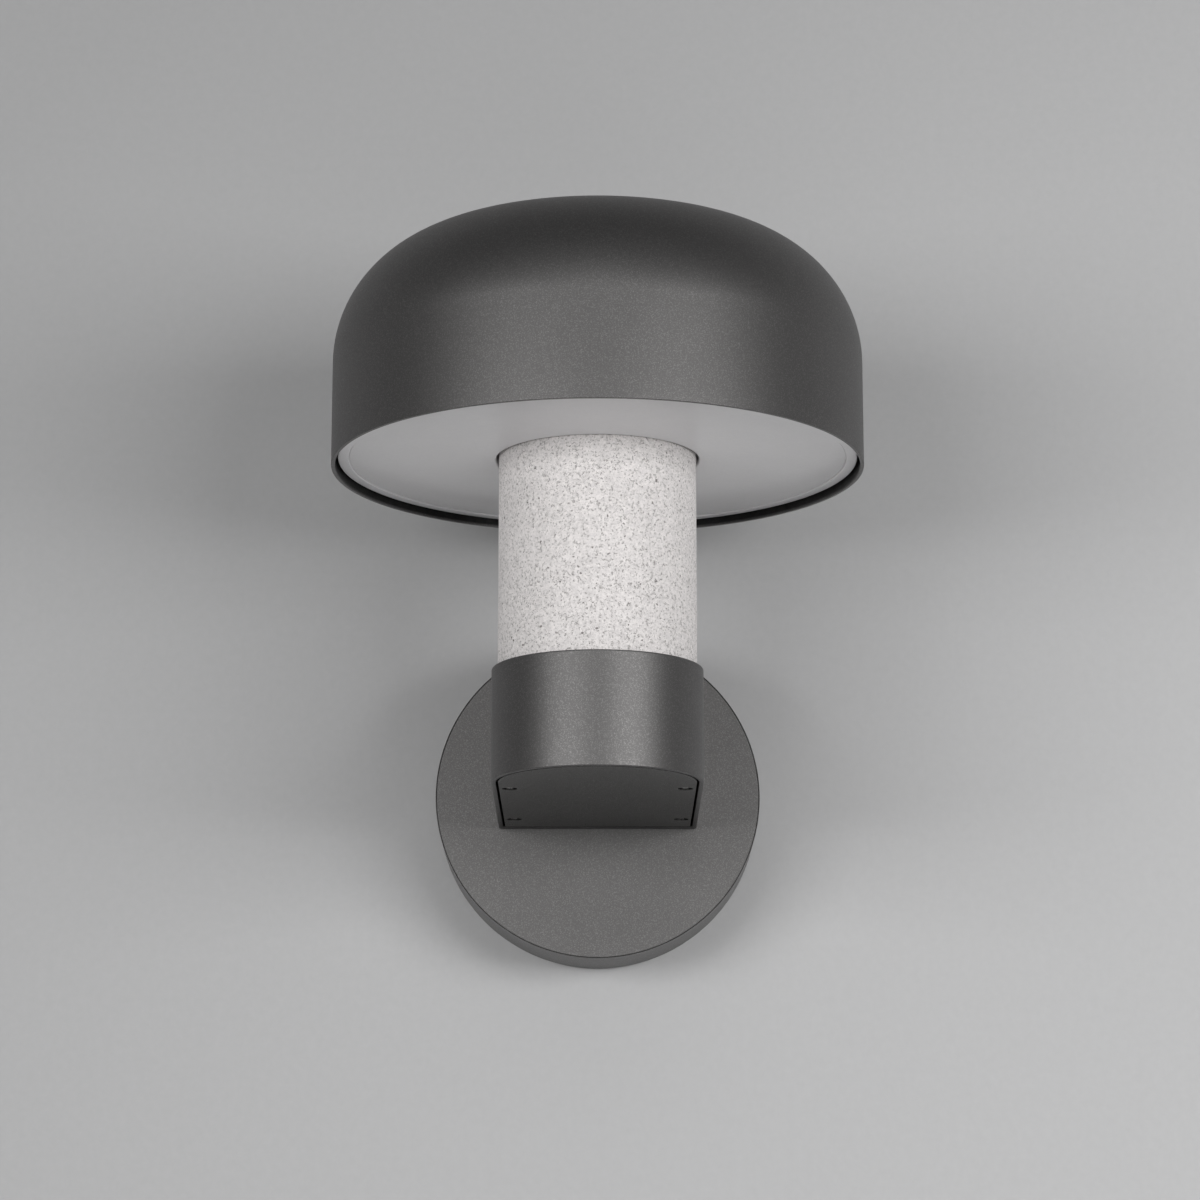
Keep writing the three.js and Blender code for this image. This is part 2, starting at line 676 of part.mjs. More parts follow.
// Dome line at a given distance inside the outer skin, from the side up to the axis.
function domeLine(inset) {
  const turn = Math.acos((shadeRadius - shadeCorner) / (crownRadius - shadeCorner));
  const corner = arcPoints(shadeRadius - shadeCorner, sideTop, shadeCorner - inset, 0, turn, 8);
  const crown = arcPoints(0, crownCentre, crownRadius - inset, turn, Math.PI / 2, 2);
  return [...corner, ...crown.slice(1)];
}

function shade() {
  const outside = domeLine(0);
  const inside = domeLine(shadeWall).reverse();
  outside[outside.length - 1][0] = 0;
  inside[0][0] = 0;
  const shell = turned([
    [shadeInner, rimZ], [shadeRadius, rimZ], ...outside, ...inside, [shadeInner, rimZ],
  ]);
  const boss = post(0, 0, shadeBossRadius, bossBottom, crownInside + shadeWall / 4, roundSides / 2);
  const thread = post(0, 0, tubeRadius + gap, bossBottom - 1, tubeTop + 1);
  return cut(join(shell, [boss]), [thread]);
}

function spacer() {
  const tube = ring(spacerRadius, tubeRadius + gap, headPlateTop + gap, bossBottom - gap, boreSides);
  return cut(tube, [tubeSlot]);
}

place(column, 'diffuser', diffuser(), opal);
place(column, 'diffuser_outer_seal', ring(diffuserOuter, diffuserOuter - diffuserWall,
  diffuserTop + gap, diffuserTop + gap + headSealThickness), rubber);
place(column, 'diffuser_inner_seal', ring(diffuserInner + diffuserWall, diffuserInner,
  diffuserTop + gap, diffuserTop + gap + headSealThickness), rubber);
place(column, 'led_board', ledBoard(), boardWhite);
boardScrewPlaces.forEach(([x, y], i) => {
  place(column, `board_screw_${i + 1}`, screwShape(boardScrew), steel,
    [x, y, boardBottom - gap], [Math.PI, 0, 0]);
});
place(column, 'head_plate', headPlate(), aluminium);
postPlaces.forEach(([x, y], i) => {
  place(column, `diffuser_screw_${i + 1}`, screwShape(postScrew), steel,
    [x, y, headPlateTop + gap]);
});
place(column, 'shade_spacer', spacer(), aluminium);
place(column, 'shade', shade(), anthracite);

export default light;
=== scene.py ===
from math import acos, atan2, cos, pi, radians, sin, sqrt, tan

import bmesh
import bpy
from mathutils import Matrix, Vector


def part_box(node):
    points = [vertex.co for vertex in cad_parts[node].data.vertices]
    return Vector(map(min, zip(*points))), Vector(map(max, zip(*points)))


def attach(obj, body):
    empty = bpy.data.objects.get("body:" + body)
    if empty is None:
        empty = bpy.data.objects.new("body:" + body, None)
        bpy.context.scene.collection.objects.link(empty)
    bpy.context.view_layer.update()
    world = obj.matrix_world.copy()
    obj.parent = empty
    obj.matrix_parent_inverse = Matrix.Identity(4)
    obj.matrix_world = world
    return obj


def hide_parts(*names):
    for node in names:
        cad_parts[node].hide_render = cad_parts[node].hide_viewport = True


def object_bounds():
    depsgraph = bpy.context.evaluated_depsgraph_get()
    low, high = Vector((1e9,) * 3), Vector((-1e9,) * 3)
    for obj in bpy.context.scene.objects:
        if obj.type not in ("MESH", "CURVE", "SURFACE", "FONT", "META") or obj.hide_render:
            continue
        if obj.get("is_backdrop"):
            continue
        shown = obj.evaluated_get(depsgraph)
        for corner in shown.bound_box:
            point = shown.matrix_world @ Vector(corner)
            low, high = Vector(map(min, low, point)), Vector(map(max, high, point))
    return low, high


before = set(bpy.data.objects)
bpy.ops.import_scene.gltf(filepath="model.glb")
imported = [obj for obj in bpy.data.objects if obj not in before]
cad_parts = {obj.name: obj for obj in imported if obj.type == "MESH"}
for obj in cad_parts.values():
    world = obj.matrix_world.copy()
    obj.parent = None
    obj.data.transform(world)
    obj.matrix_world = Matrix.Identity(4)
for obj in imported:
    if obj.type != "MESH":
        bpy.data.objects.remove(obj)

# Looks of an outdoor wall light: a powder-coated wall plate and D-shaped arm, a cast concrete
# stem, and a spun metal shade over an opal ring diffuser.
#
# Sizes are in millimetres until a mesh is made. +Z is up, +Y runs into the wall, and the front
# of the light looks along -Y. Places come from the boxes of the CAD nodes.

cad_low, cad_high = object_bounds()

MM = 0.001
X, Y, Z = 0, 1, 2
ACROSS, INWARD, UPWARD = Vector((1, 0, 0)), Vector((0, 1, 0)), Vector((0, 0, 1))


def corners_of(node_name):
    """Lowest and highest corner of a CAD node, in millimetres."""
    low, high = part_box(node_name)
    return low / MM, high / MM


def numbered(stem, count):
    return [f"{stem}_{i + 1}" for i in range(count)]


def spots(nodes, axis):
    """Corners of each CAD node, and its centre with the place along axis set to 0."""
    for node_name in nodes:
        low, high = corners_of(node_name)
        middle = (low + high) / 2
        middle[axis] = 0
        yield low, high, middle


# ------------------------------------------------------------------ places from the CAD nodes

plate_low, plate_high = corners_of("wall_plate")
plate_radius = plate_high.x
plate_face = -plate_low.y          # distance of the plate's front from the wall
plate_back = -plate_high.y

arm_low, arm_high = corners_of("arm_housing")
arm_half = arm_high.x
arm_back = arm_high.y
arm_bottom, arm_top = arm_low.z, arm_high.z

cover_high = corners_of("bottom_cover")[1]
cover_half = cover_high.x
cover_back = cover_high.y
cover_top = cover_high.z

stem_low, stem_high = corners_of("concrete_stem")
stem_radius = stem_high.x
stem_y = (stem_low.y + stem_high.y) / 2

diffuser_low, diffuser_high = corners_of("diffuser")
diffuser_outer = diffuser_high.x

shade_low, shade_high = corners_of("shade")
shade_radius = shade_high.x
rim_z, crown_z = shade_low.z, shade_high.z

# ---------------------------------------------------------------- sizes that no box gives

plate_wall = 2.2
plate_front = 3.0
reveal_width = 0.3
reveal_depth = 1.5
reveal_inset = 0.55                # from the plate's side in to the groove
reveal_step = 0.1                  # the rim outside the groove lies this much back
lead_hole = 8.0

arm_wall = 1.9
arm_roof = 5.0
arm_web = 5.0
arm_ledge = 2.5
seat_depth = 2.2
seat_clearance = 0.35
tube_clearance = 0.5

counterbore_radius = 3.1
counterbore_depth = 1.9
screw_gap = 0.3
cover_screw_hole = 1.55
cover_boss = 3.0
driver_screw_hole = 1.8
driver_boss = 4.5
driver_ear = 4.1                   # from the head of an ear screw to the foot of its boss
arm_screw_hole = 2.8
plate_screw_hole = 2.3
plate_screw_sink = 4.3
board_post = 3.4

stem_bore = 28.0
tube_radius = 5.0

bracket_thickness = 2.5
tab_half = 8.0
wall_slot_spacing = 76.0
wall_slot_length = 14.0
wall_slot_width = 5.5
bracket_gap = 0.5                  # to the inside of the plate
bend = 0.8                         # inner radius of the bracket's bends
terminal_pitch = 9.0
terminal_groove = 1.2
wire_entry = 2.4
flange = 2.0                       # thickness of the grommet's flange

diffuser_gap = 1.2
diffuser_floor = 2.5
diffuser_wall = 2.2
lip_width = 4.3
lip_drop = 0.6

shade_wall = 1.5
shade_side = 43.1
shade_corner = 51.8
crown_radius = 500.0
shade_boss = 11.0

diffuser_inner = stem_radius + diffuser_gap
diffuser_face = diffuser_low.z + lip_drop
shade_inner = shade_radius - shade_wall
side_top = rim_z + shade_side
arm_roof_z = arm_top - arm_roof
web_y = arm_back - arm_web

ROUND = 192                        # sides of a large turned piece
EDGE = 0.5                         # radius of a coated outer edge

# ------------------------------------------------------------------------------ node helpers


def node(tree, kind, inputs=None, **settings):
    """Adds a node, sets its options, and links or sets its inputs."""
    made = tree.nodes.new(kind)
    for name, value in settings.items():
        setattr(made, name, value)
    for key, value in (inputs or {}).items():
        if isinstance(key, int):
            socket = made.inputs[key]
        else:
            socket = next(s for s in made.inputs if s.name == key and s.enabled)
        if isinstance(value, bpy.types.NodeSocket):
            tree.links.new(value, socket)
        else:
            socket.default_value = value
    return made


def out(made, name=None):
    """A node's first live output, or its live output of that name."""
    return next(s for s in made.outputs if s.enabled and name in (None, s.name))


def math(tree, operation, *values):
    made = node(tree, "ShaderNodeMath", dict(enumerate(values)), operation=operation)
    return made.outputs[0]


def times(tree, a, b):
    return math(tree, "MULTIPLY", a, b)


def plus(tree, a, b):
    return math(tree, "ADD", a, b)


def less(tree, a, b):
    return math(tree, "SUBTRACT", a, b)


def new_tree(name, kind, inputs, outputs):
    """A node group with named inputs (name, socket kind, value) and outputs (name, kind)."""
    tree = bpy.data.node_groups.new(name, kind)
    for label, socket, value in inputs:
        made = tree.interface.new_socket(name=label, in_out="INPUT",
                                         socket_type="NodeSocket" + socket)
        if value is not None:
            made.default_value = value
    for label, socket in outputs:
        tree.interface.new_socket(name=label, in_out="OUTPUT",
                                  socket_type="NodeSocket" + socket)
    given = tree.nodes.new("NodeGroupInput").outputs
    result = tree.nodes.new("NodeGroupOutput").inputs
    return tree, given, result


# ------------------------------------------------------------------- shader groups: effects


def object_place(tree):
    return node(tree, "ShaderNodeTexCoord").outputs["Object"]


def noise(tree, size, detail=2.0, roughness=0.5, distortion=0.0, place=None):
    """Noise whose lumps are about size millimetres across."""
    scale = math(tree, "DIVIDE", 1 / MM, size)
    made = node(tree, "ShaderNodeTexNoise", {
        "Vector": place or object_place(tree), "Scale": scale, "Detail": detail,
        "Roughness": roughness, "Distortion": distortion})
    return made.outputs["Fac"]


def stretch(tree, value, low, high):
    """Value between low and high spread over 0 to 1."""
    made = node(tree, "ShaderNodeMapRange", {
        "Value": value, "From Min": low, "From Max": high, "To Min": 0.0, "To Max": 1.0})
    return made.outputs["Result"]


def grain_group():
    """Fine even texture of a coat or a casting."""
    tree, given, result = new_tree("Grain", "ShaderNodeTree", [
        ("Size", "Float", 0.6), ("Unevenness", "Float", 0.5)], [
        ("Value", "Float"), ("Height", "Float")])
    fine = noise(tree, given["Size"], 1.0, 0.6)
    coarse = noise(tree, times(tree, given["Size"], 3.1), 2.0, 0.6)
    spread = times(tree, less(tree, coarse, fine), given["Unevenness"])
    both = plus(tree, fine, spread)
    tree.links.new(stretch(tree, both, 0.3, 0.7), result["Value"])
    tree.links.new(both, result["Height"])
    return tree


def flake_group():
    """Metal flakes in a coat, or mica in a stone: small cells, each with its own brightness."""
    tree, given, result = new_tree("Flakes", "ShaderNodeTree", [
        ("Size", "Float", 0.35), ("Share", "Float", 0.3)], [("Mask", "Float")])
    scale = math(tree, "DIVIDE", 1 / MM, given["Size"])
    cells = node(tree, "ShaderNodeTexVoronoi", {"Vector": object_place(tree), "Scale": scale})
    chance = node(tree, "ShaderNodeTexWhiteNoise", {"Vector": cells.outputs["Color"]})
    edge = less(tree, 1.0, given["Share"])
    tree.links.new(stretch(tree, chance.outputs["Value"], edge, 1.0), result["Mask"])
    return tree


def mottle_group():
    """Slow change of tone over a surface, centred on 1."""
    tree, given, result = new_tree("Mottling", "ShaderNodeTree", [
        ("Size", "Float", 25.0), ("Contrast", "Float", 0.1)], [("Factor", "Float")])
    slow = noise(tree, given["Size"], 3.0, 0.55, 0.3)
    swing = times(tree, less(tree, slow, 0.5), given["Contrast"])
    tree.links.new(plus(tree, 1.0, times(tree, swing, 2.0)),
                   result["Factor"])
    return tree


def wear_group():
    """Broken bright line along the outer edges, from the piece's edge attribute."""
    tree, given, result = new_tree("Edge wear", "ShaderNodeTree", [
        ("Amount", "Float", 0.3), ("Size", "Float", 2.0)], [("Mask", "Float")])
    edge = node(tree, "ShaderNodeAttribute", attribute_name="edge").outputs["Fac"]
    broken = stretch(tree, noise(tree, given["Size"], 4.0, 0.7), 0.42, 0.62)
    worn = times(tree, math(tree, "MAXIMUM", edge, 0.0), broken)
    tree.links.new(times(tree, worn, given["Amount"]), result["Mask"])
    return tree


def recess_shade_group():
    """Painted shade in the joints and recesses, where edge is below 0: dark colour that stands in
    for the shade there.
    """
    tree, given, result = new_tree("Joint dirt", "ShaderNodeTree", [
        ("Amount", "Float", 0.8)], [("Mask", "Float")])
    edge = node(tree, "ShaderNodeAttribute", attribute_name="edge").outputs["Fac"]
    deep = stretch(tree, edge, 0.0, -1.0)
    uneven = plus(tree, 0.85, times(tree, noise(tree, 3.0), 0.3))
    dark = times(tree, deep, uneven)
    tree.links.new(times(tree, dark, given["Amount"]), result["Mask"])
    return tree


def dust_group():
    """Thin dust on what faces up, washed into patches."""
    tree, given, result = new_tree("Dust", "ShaderNodeTree", [
        ("Amount", "Float", 0.3), ("Size", "Float", 18.0)], [("Mask", "Float")])
    normal = node(tree, "ShaderNodeNewGeometry").outputs["Normal"]
    up = node(tree, "ShaderNodeSeparateXYZ", {"Vector": normal}).outputs["Z"]
    patches = stretch(tree, noise(tree, given["Size"], 5.0, 0.65), 0.35, 0.75)
    lying = times(tree, stretch(tree, up, 0.55, 0.98), patches)
    tree.links.new(times(tree, lying, given["Amount"]), result["Mask"])
    return tree


def speck_group():
    """Scattered specks: round grains of one size, in some of the cells, in loose clusters."""
    tree, given, result = new_tree("Specks", "ShaderNodeTree", [
        ("Spacing", "Float", 2.0), ("Size", "Float", 0.5), ("Share", "Float", 0.3),
        ("Cluster", "Float", 12.0), ("Lean", "Float", 0.0), ("Flat", "Float", 1.0),
        ("Ragged", "Float", 0.9)], [("Mask", "Float")])
    squash = node(tree, "ShaderNodeCombineXYZ", {"X": 1.0, "Y": 1.0, "Z": given["Flat"]})
    flattened = node(tree, "ShaderNodeVectorMath", {
        0: object_place(tree), 1: squash.outputs["Vector"]}, operation="MULTIPLY")
    place = flattened.outputs["Vector"]
    wobble = node(tree, "ShaderNodeTexNoise", {
        "Vector": place, "Scale": math(tree, "DIVIDE", 0.9 / MM, given["Size"]), "Detail": 1.0})
    shift = node(tree, "ShaderNodeVectorMath", {
        0: wobble.outputs["Color"], 1: (0.5, 0.5, 0.5)}, operation="SUBTRACT")
    amount = times(tree, times(tree, given["Size"], given["Ragged"]), MM)
    shaken = node(tree, "ShaderNodeVectorMath", {
        0: shift.outputs["Vector"], "Scale": amount}, operation="SCALE")
    moved = node(tree, "ShaderNodeVectorMath", {
        0: place, 1: shaken.outputs["Vector"]}, operation="ADD")
    scale = math(tree, "DIVIDE", 1 / MM, given["Spacing"])
    cells = node(tree, "ShaderNodeTexVoronoi", {
        "Vector": moved.outputs["Vector"], "Scale": scale})
    chance = node(tree, "ShaderNodeTexWhiteNoise", {"Vector": cells.outputs["Color"]})
    clusters = noise(tree, given["Cluster"], 2.0, 0.6)
    # Lean makes the specks denser towards +X and sparser towards -X, so a piece gets darker on
    # its right side: painted shade.
    side = node(tree, "ShaderNodeSeparateXYZ", {"Vector": place}).outputs["X"]
    leaning = times(tree, side, times(tree, given["Lean"], 1 / MM))
    share = plus(tree, leaning, times(
        tree, given["Share"], stretch(tree, clusters, 0.3, 0.6)))
    chosen = math(tree, "LESS_THAN", chance.outputs["Value"], share)
    reach = math(tree, "DIVIDE", times(tree, given["Size"], 0.5), given["Spacing"])
    own = times(tree, reach, plus(tree, 0.5, chance.outputs["Value"]))
    inside = stretch(tree, cells.outputs["Distance"], own, times(tree, own, 0.4))
    tree.links.new(times(tree, inside, chosen), result["Mask"])
    return tree


def mark_group():
    """Short thin worm-like marks in loose clusters, as trapped air leaves in a cast face."""
    tree, given, result = new_tree("Cast marks", "ShaderNodeTree", [
        ("Size", "Float", 1.5), ("Width", "Float", 0.03), ("Share", "Float", 0.5),
        ("Cluster", "Float", 14.0)], [("Mask", "Float")])
    lines = noise(tree, given["Size"], 2.0, 0.6, 0.4)
    off = math(tree, "ABSOLUTE", less(tree, lines, 0.5))
    line = stretch(tree, off, given["Width"], times(tree, given["Width"], 0.3))
    broken = stretch(tree, noise(tree, times(tree, given["Size"], 1.3), 2.0, 0.5),
                     0.52, 0.60)
    clusters = noise(tree, given["Cluster"], 3.0, 0.6)
    edge = less(tree, 0.75, times(tree, given["Share"], 0.5))
    chosen = stretch(tree, clusters, edge, plus(tree, edge, 0.12))
    both = times(tree, line, broken)
    tree.links.new(times(tree, both, chosen), result["Mask"])
    return tree


grain = grain_group()
flakes = flake_group()
mottling = mottle_group()
edge_wear = wear_group()
recess_shade = recess_shade_group()
dust = dust_group()
specks = speck_group()
marks = mark_group()

# ---------------------------------------------------------------------------- materials


class Finish:
    """A material under construction: one Principled shader and what feeds it."""

    def __init__(self, name, **settings):
        self.material = bpy.data.materials.new(name)
        self.material.use_nodes = True
        self.tree = self.material.node_tree
        self.tree.nodes.clear()
        self.shader = node(self.tree, "ShaderNodeBsdfPrincipled", settings)
        node(self.tree, "ShaderNodeOutputMaterial", {"Surface": self.shader.outputs["BSDF"]})

    def use(self, group, output, **inputs):
        """An effect group with its own values."""
        made = node(self.tree, "ShaderNodeGroup", node_tree=group)
        for name, value in inputs.items():
            made.inputs[name].default_value = value
        return made.outputs[output]

    def mix(self, factor, a, b, blend="MIX"):
        made = node(self.tree, "ShaderNodeMix", data_type="RGBA", blend_type=blend)
        for label, value in (("Factor", factor), ("A", a), ("B", b)):
            socket = next(s for s in made.inputs if s.name == label and s.enabled)
            if isinstance(value, bpy.types.NodeSocket):
                self.tree.links.new(value, socket)
            elif isinstance(value, tuple):
                socket.default_value = (*value, 1.0)
            else:
                socket.default_value = value
        return next(s for s in made.outputs if s.enabled)

    def toned(self, colour, factor):
        """Colour times a grey factor."""
        made = node(self.tree, "ShaderNodeVectorMath", {
            0: colour, "Scale": factor}, operation="SCALE")
        return made.outputs["Vector"]

    def sum(self, *values):
        total = values[0]
        for value in values[1:]:
            total = math(self.tree, "ADD", total, value)
        return total

    def times(self, a, b):
        return math(self.tree, "MULTIPLY", a, b)

    def feed(self, **sockets):
        for name, value in sockets.items():
            self.tree.links.new(value, self.shader.inputs[name.replace("_", " ")])

    def bump(self, height, depth):
        """Relief of about depth millimetres for a height from 0 to 1."""
        made = node(self.tree, "ShaderNodeBump", {
            "Height": height, "Distance": depth * MM, "Strength": 1.0})
        self.feed(Normal=made.outputs["Normal"])


def powder_coat(name, colour, flake_colour, roughness, grain_size, relief, wear, dirt,
                metallic=0.85):
    """Metallic powder coat: fine orange peel, flakes, a little wear on edges, thin dust, and
    painted shade in joints and recesses.
    """
    coat = Finish(name, Metallic=metallic)
    texture = coat.use(grain, "Value", Size=grain_size, Unevenness=0.35)
    height = coat.use(grain, "Height", Size=grain_size, Unevenness=0.35)
    sparkle = coat.use(flakes, "Mask", Size=grain_size * 0.8, Share=0.35)
    tone = coat.use(mottling, "Factor", Size=30.0, Contrast=0.06)
    worn = coat.use(edge_wear, "Mask", Amount=wear, Size=2.5)
    dusty = coat.use(dust, "Mask", Amount=dirt, Size=16.0)
    flaked = coat.mix(coat.times(sparkle, 0.6), colour, flake_colour)
    shaded = coat.toned(flaked, coat.sum(coat.times(texture, 0.14), 0.93))
    mottled = coat.toned(shaded, tone)
    rubbed = coat.mix(worn, mottled, (0.26, 0.26, 0.26))
    dusted = coat.mix(dusty, rubbed, (0.30, 0.28, 0.25))
    # Painted shade: joints and recesses are darkened to near black.
    deep = coat.use(recess_shade, "Mask", Amount=0.85)
    coat.feed(Base_Color=coat.mix(deep, dusted, (0.008, 0.008, 0.008)))
    rough = coat.sum(coat.times(texture, 0.10), roughness - 0.05, coat.times(dusty, 0.3))
    coat.feed(Roughness=math(coat.tree, "SUBTRACT", rough, coat.times(sparkle, 0.05)))
    coat.bump(height, relief)
    return coat.material


def metal(name, colour, roughness, tarnish, relief=0.01):
    """Bare or plated metal: fine drawn grain, slow tarnish, brighter rubbed edges."""
    plain = Finish(name, Metallic=1.0)
    texture = plain.use(grain, "Value", Size=0.8, Unevenness=0.8)
    tone = plain.use(mottling, "Factor", Size=9.0, Contrast=0.25)
    spots = plain.use(specks, "Mask", Spacing=3.0, Size=0.7, Share=0.35, Cluster=8.0)
    worn = plain.use(edge_wear, "Mask", Amount=0.5, Size=3.0)
    toned = plain.toned(plain.mix(plain.times(texture, 0.25), colour, tarnish), tone)
    spotted = plain.mix(plain.times(spots, 0.5), toned, tarnish)
    plain.feed(Base_Color=plain.mix(worn, spotted, tuple(min(1.0, 1.25 * c) for c in colour)))
    plain.feed(Roughness=plain.sum(plain.times(texture, 0.14), roughness - 0.07))
    plain.bump(plain.use(grain, "Height", Size=0.5, Unevenness=0.5), relief)
    return plain.material


def moulded(name, colour, roughness, relief, contrast=0.08, **settings):
    """Moulded plastic or rubber: satin grain, slight mottling, scuffed edges."""
    plain = Finish(name, **settings)
    texture = plain.use(grain, "Value", Size=0.5, Unevenness=0.4)
    tone = plain.use(mottling, "Factor", Size=14.0, Contrast=contrast)
    scuffed = plain.use(edge_wear, "Mask", Amount=0.25, Size=2.0)
    toned = plain.toned(plain.mix(plain.times(texture, 0.12), colour, (0.5, 0.5, 0.5)), tone)
    lighter = tuple(min(1.0, 1.2 * c + 0.02) for c in colour)
    plain.feed(Base_Color=plain.mix(scuffed, toned, lighter))
    plain.feed(Roughness=plain.sum(plain.times(texture, 0.12), roughness - 0.06))
    plain.bump(plain.use(grain, "Height", Size=0.5, Unevenness=0.4), relief)
    return plain.material


def cast_concrete(name):
    """Pale fine concrete: sandy ground, dark and light specks, thin marks, and pores painted dark
    as painted shade.
    """
    cast = Finish(name, **{"Diffuse Roughness": 0.4})
    sand = cast.use(grain, "Value", Size=0.6, Unevenness=0.6)
    cloud = cast.use(mottling, "Factor", Size=16.0, Contrast=0.07)
    # The Lean values darken the stem's right side with extra specks: painted shade.
    fine = cast.use(specks, "Mask", Spacing=0.7, Size=0.36, Share=0.38, Cluster=4.5,
                    Lean=0.007, Flat=1.5, Ragged=2.2)
    coarse = cast.use(specks, "Mask", Spacing=2.6, Size=0.9, Share=0.34, Cluster=9.0,
                      Lean=0.006, Flat=1.4, Ragged=1.8)
    stain = cast.use(specks, "Mask", Spacing=11.0, Size=5.0, Share=0.4, Cluster=18.0,
                     Lean=0.002, Flat=0.8, Ragged=1.2)
    thin = cast.use(marks, "Mask", Size=0.8, Width=0.07, Share=1.0, Cluster=8.0)
    pale = cast.use(flakes, "Mask", Size=0.45, Share=0.3)
    worn = cast.use(edge_wear, "Mask", Amount=0.35, Size=1.5)
    pore_shade = node(cast.tree, "ShaderNodeAttribute", attribute_name="pore").outputs["Fac"]
    ground = cast.mix(sand, (0.56, 0.54, 0.535), (0.80, 0.77, 0.76))
    lit = cast.mix(cast.times(pale, 0.5), ground, (0.86, 0.83, 0.82))
    shaded = cast.mix(cast.times(stain, 0.3), lit, (0.50, 0.48, 0.46))
    flecked = cast.mix(cast.times(fine, 0.62), shaded, (0.24, 0.23, 0.22))
    stained = cast.mix(cast.times(coarse, 0.65), flecked, (0.20, 0.195, 0.185))
    lined = cast.mix(cast.times(thin, 0.85), stained, (0.20, 0.19, 0.18))
    rubbed = cast.mix(worn, lined, (0.76, 0.73, 0.72))
    # Painted shade: the pores are darkened towards near black.
    pitted = cast.mix(cast.times(pore_shade, 0.8), rubbed, (0.15, 0.14, 0.13))
    cast.feed(Base_Color=cast.toned(pitted, cloud))
    cast.feed(Roughness=cast.sum(cast.times(sand, 0.12), 0.80))
    relief = cast.sum(cast.use(grain, "Height", Size=0.55, Unevenness=0.5),
                      cast.times(fine, -0.5), cast.times(coarse, -0.8),
                      cast.times(thin, -0.6))
    cast.bump(relief, 0.11)
    return cast.material


coat = powder_coat("anthracite powder coat", (0.122, 0.119, 0.118), (0.215, 0.211, 0.208),
                   0.50, 0.38, 0.02, 0.03, 0.08)
# The cover carries the same anthracite coat as the rest. Its colour is set much darker as painted
# shade, since it faces down into shade; it is also smoother and more metallic.
cover_coat = powder_coat("satin powder coat", (0.070, 0.069, 0.067), (0.09, 0.09, 0.088),
                         0.32, 0.4, 0.002, 0.03, 0.05, 0.98)
concrete = cast_concrete("cast concrete")
opal = moulded("opal acrylic", (0.74, 0.73, 0.74), 0.38, 0.004, 0.03,
               **{"Subsurface Weight": 0.25, "Subsurface Radius": (0.006, 0.006, 0.006),
                  "Subsurface Scale": 1.0})
rubber = moulded("black silicone rubber", (0.018, 0.018, 0.018), 0.72, 0.02, 0.3)
steel = metal("zinc-plated steel", (0.52, 0.53, 0.54), 0.34, (0.36, 0.36, 0.34))
stainless = metal("stainless steel", (0.58, 0.57, 0.56), 0.28, (0.42, 0.41, 0.40))
aluminium = metal("pressed aluminium", (0.72, 0.73, 0.74), 0.36, (0.55, 0.56, 0.57))
brass = metal("brass", (0.62, 0.46, 0.19), 0.30, (0.42, 0.30, 0.13))
case_grey = moulded("driver case plastic", (0.70, 0.70, 0.70), 0.45, 0.02)
board_white = moulded("white solder mask", (0.80, 0.80, 0.78), 0.35, 0.006)
block_grey = moulded("grey polyamide", (0.30, 0.31, 0.32), 0.5, 0.02)
sheath = moulded("black lead sheath", (0.02, 0.02, 0.022), 0.55, 0.015, 0.2)

# --------------------------------------------------------------------------- mesh helpers


def holder(name, mesh):
    made = bpy.data.objects.new(name, mesh)
    bpy.context.scene.collection.objects.link(made)
    return made


def mesh_from(name, points, faces, edges=()):
    """Mesh of points in millimetres."""
    made = bpy.data.meshes.new(name)
    made.from_pydata([Vector(p) * MM for p in points], edges, faces)
    return made


def soften(corners, loop, steps=5, hold=1.6):
    """Turns profile corners (across, up, radius) into arcs. Each arc gets a holding point on
    both sides, so that flat faces stay flat. A corner's fourth value, if it has one, is its
    edge mark: -1 down in a joint. Returns (across, up, edge, corner number)."""
    line = []
    count = len(corners)
    for i, (x, z, radius, *mark) in enumerate(corners):
        at_end = not loop and i in (0, count - 1)
        if radius == 0 or at_end:
            line.append((x, z, mark[0] if mark else 0.0, i))
            continue
        here = Vector((x, z))
        to_last = (Vector(corners[i - 1][:2]) - here).normalized()
        to_next = (Vector(corners[(i + 1) % count][:2]) - here).normalized()
        half = to_last.angle(to_next) / 2
        reach = radius / tan(half)
        centre = here + (to_last + to_next).normalized() * radius / sin(half)
        start, end = here + to_last * reach, here + to_next * reach
        outward = 1.0 if to_next.cross(to_last) > 0 else 0.0
        aside = mark[0] if mark else 0.0
        outward = mark[0] if mark else outward
        line.append((*(here + to_last * reach * hold), aside, i))
        for step in range(steps + 1):
            mid = (start - centre).slerp(end - centre, step / steps) * radius
            line.append((*(centre + mid), outward, i))
        line.append((*(here + to_next * reach * hold), aside, i))
    return line


def tidy(piece, sharp=34):
    """Merges doubles, drops stray edges, points faces outwards, and shades smooth except at
    angles over sharp degrees."""
    work = bmesh.new()
    work.from_mesh(piece.data)
    bmesh.ops.remove_doubles(work, verts=work.verts, dist=1e-7)
    bmesh.ops.dissolve_degenerate(work, edges=work.edges, dist=1e-8)
    stray = [e for e in work.edges if not e.link_faces]
    bmesh.ops.delete(work, geom=stray, context="EDGES")
    stray = [v for v in work.verts if not v.link_faces]
    bmesh.ops.delete(work, geom=stray, context="VERTS")
    bmesh.ops.recalc_face_normals(work, faces=work.faces)
    work.to_mesh(piece.data)
    work.free()
    piece.data.shade_smooth()
    piece.data.set_sharp_from_angle(angle=radians(sharp))
    return piece


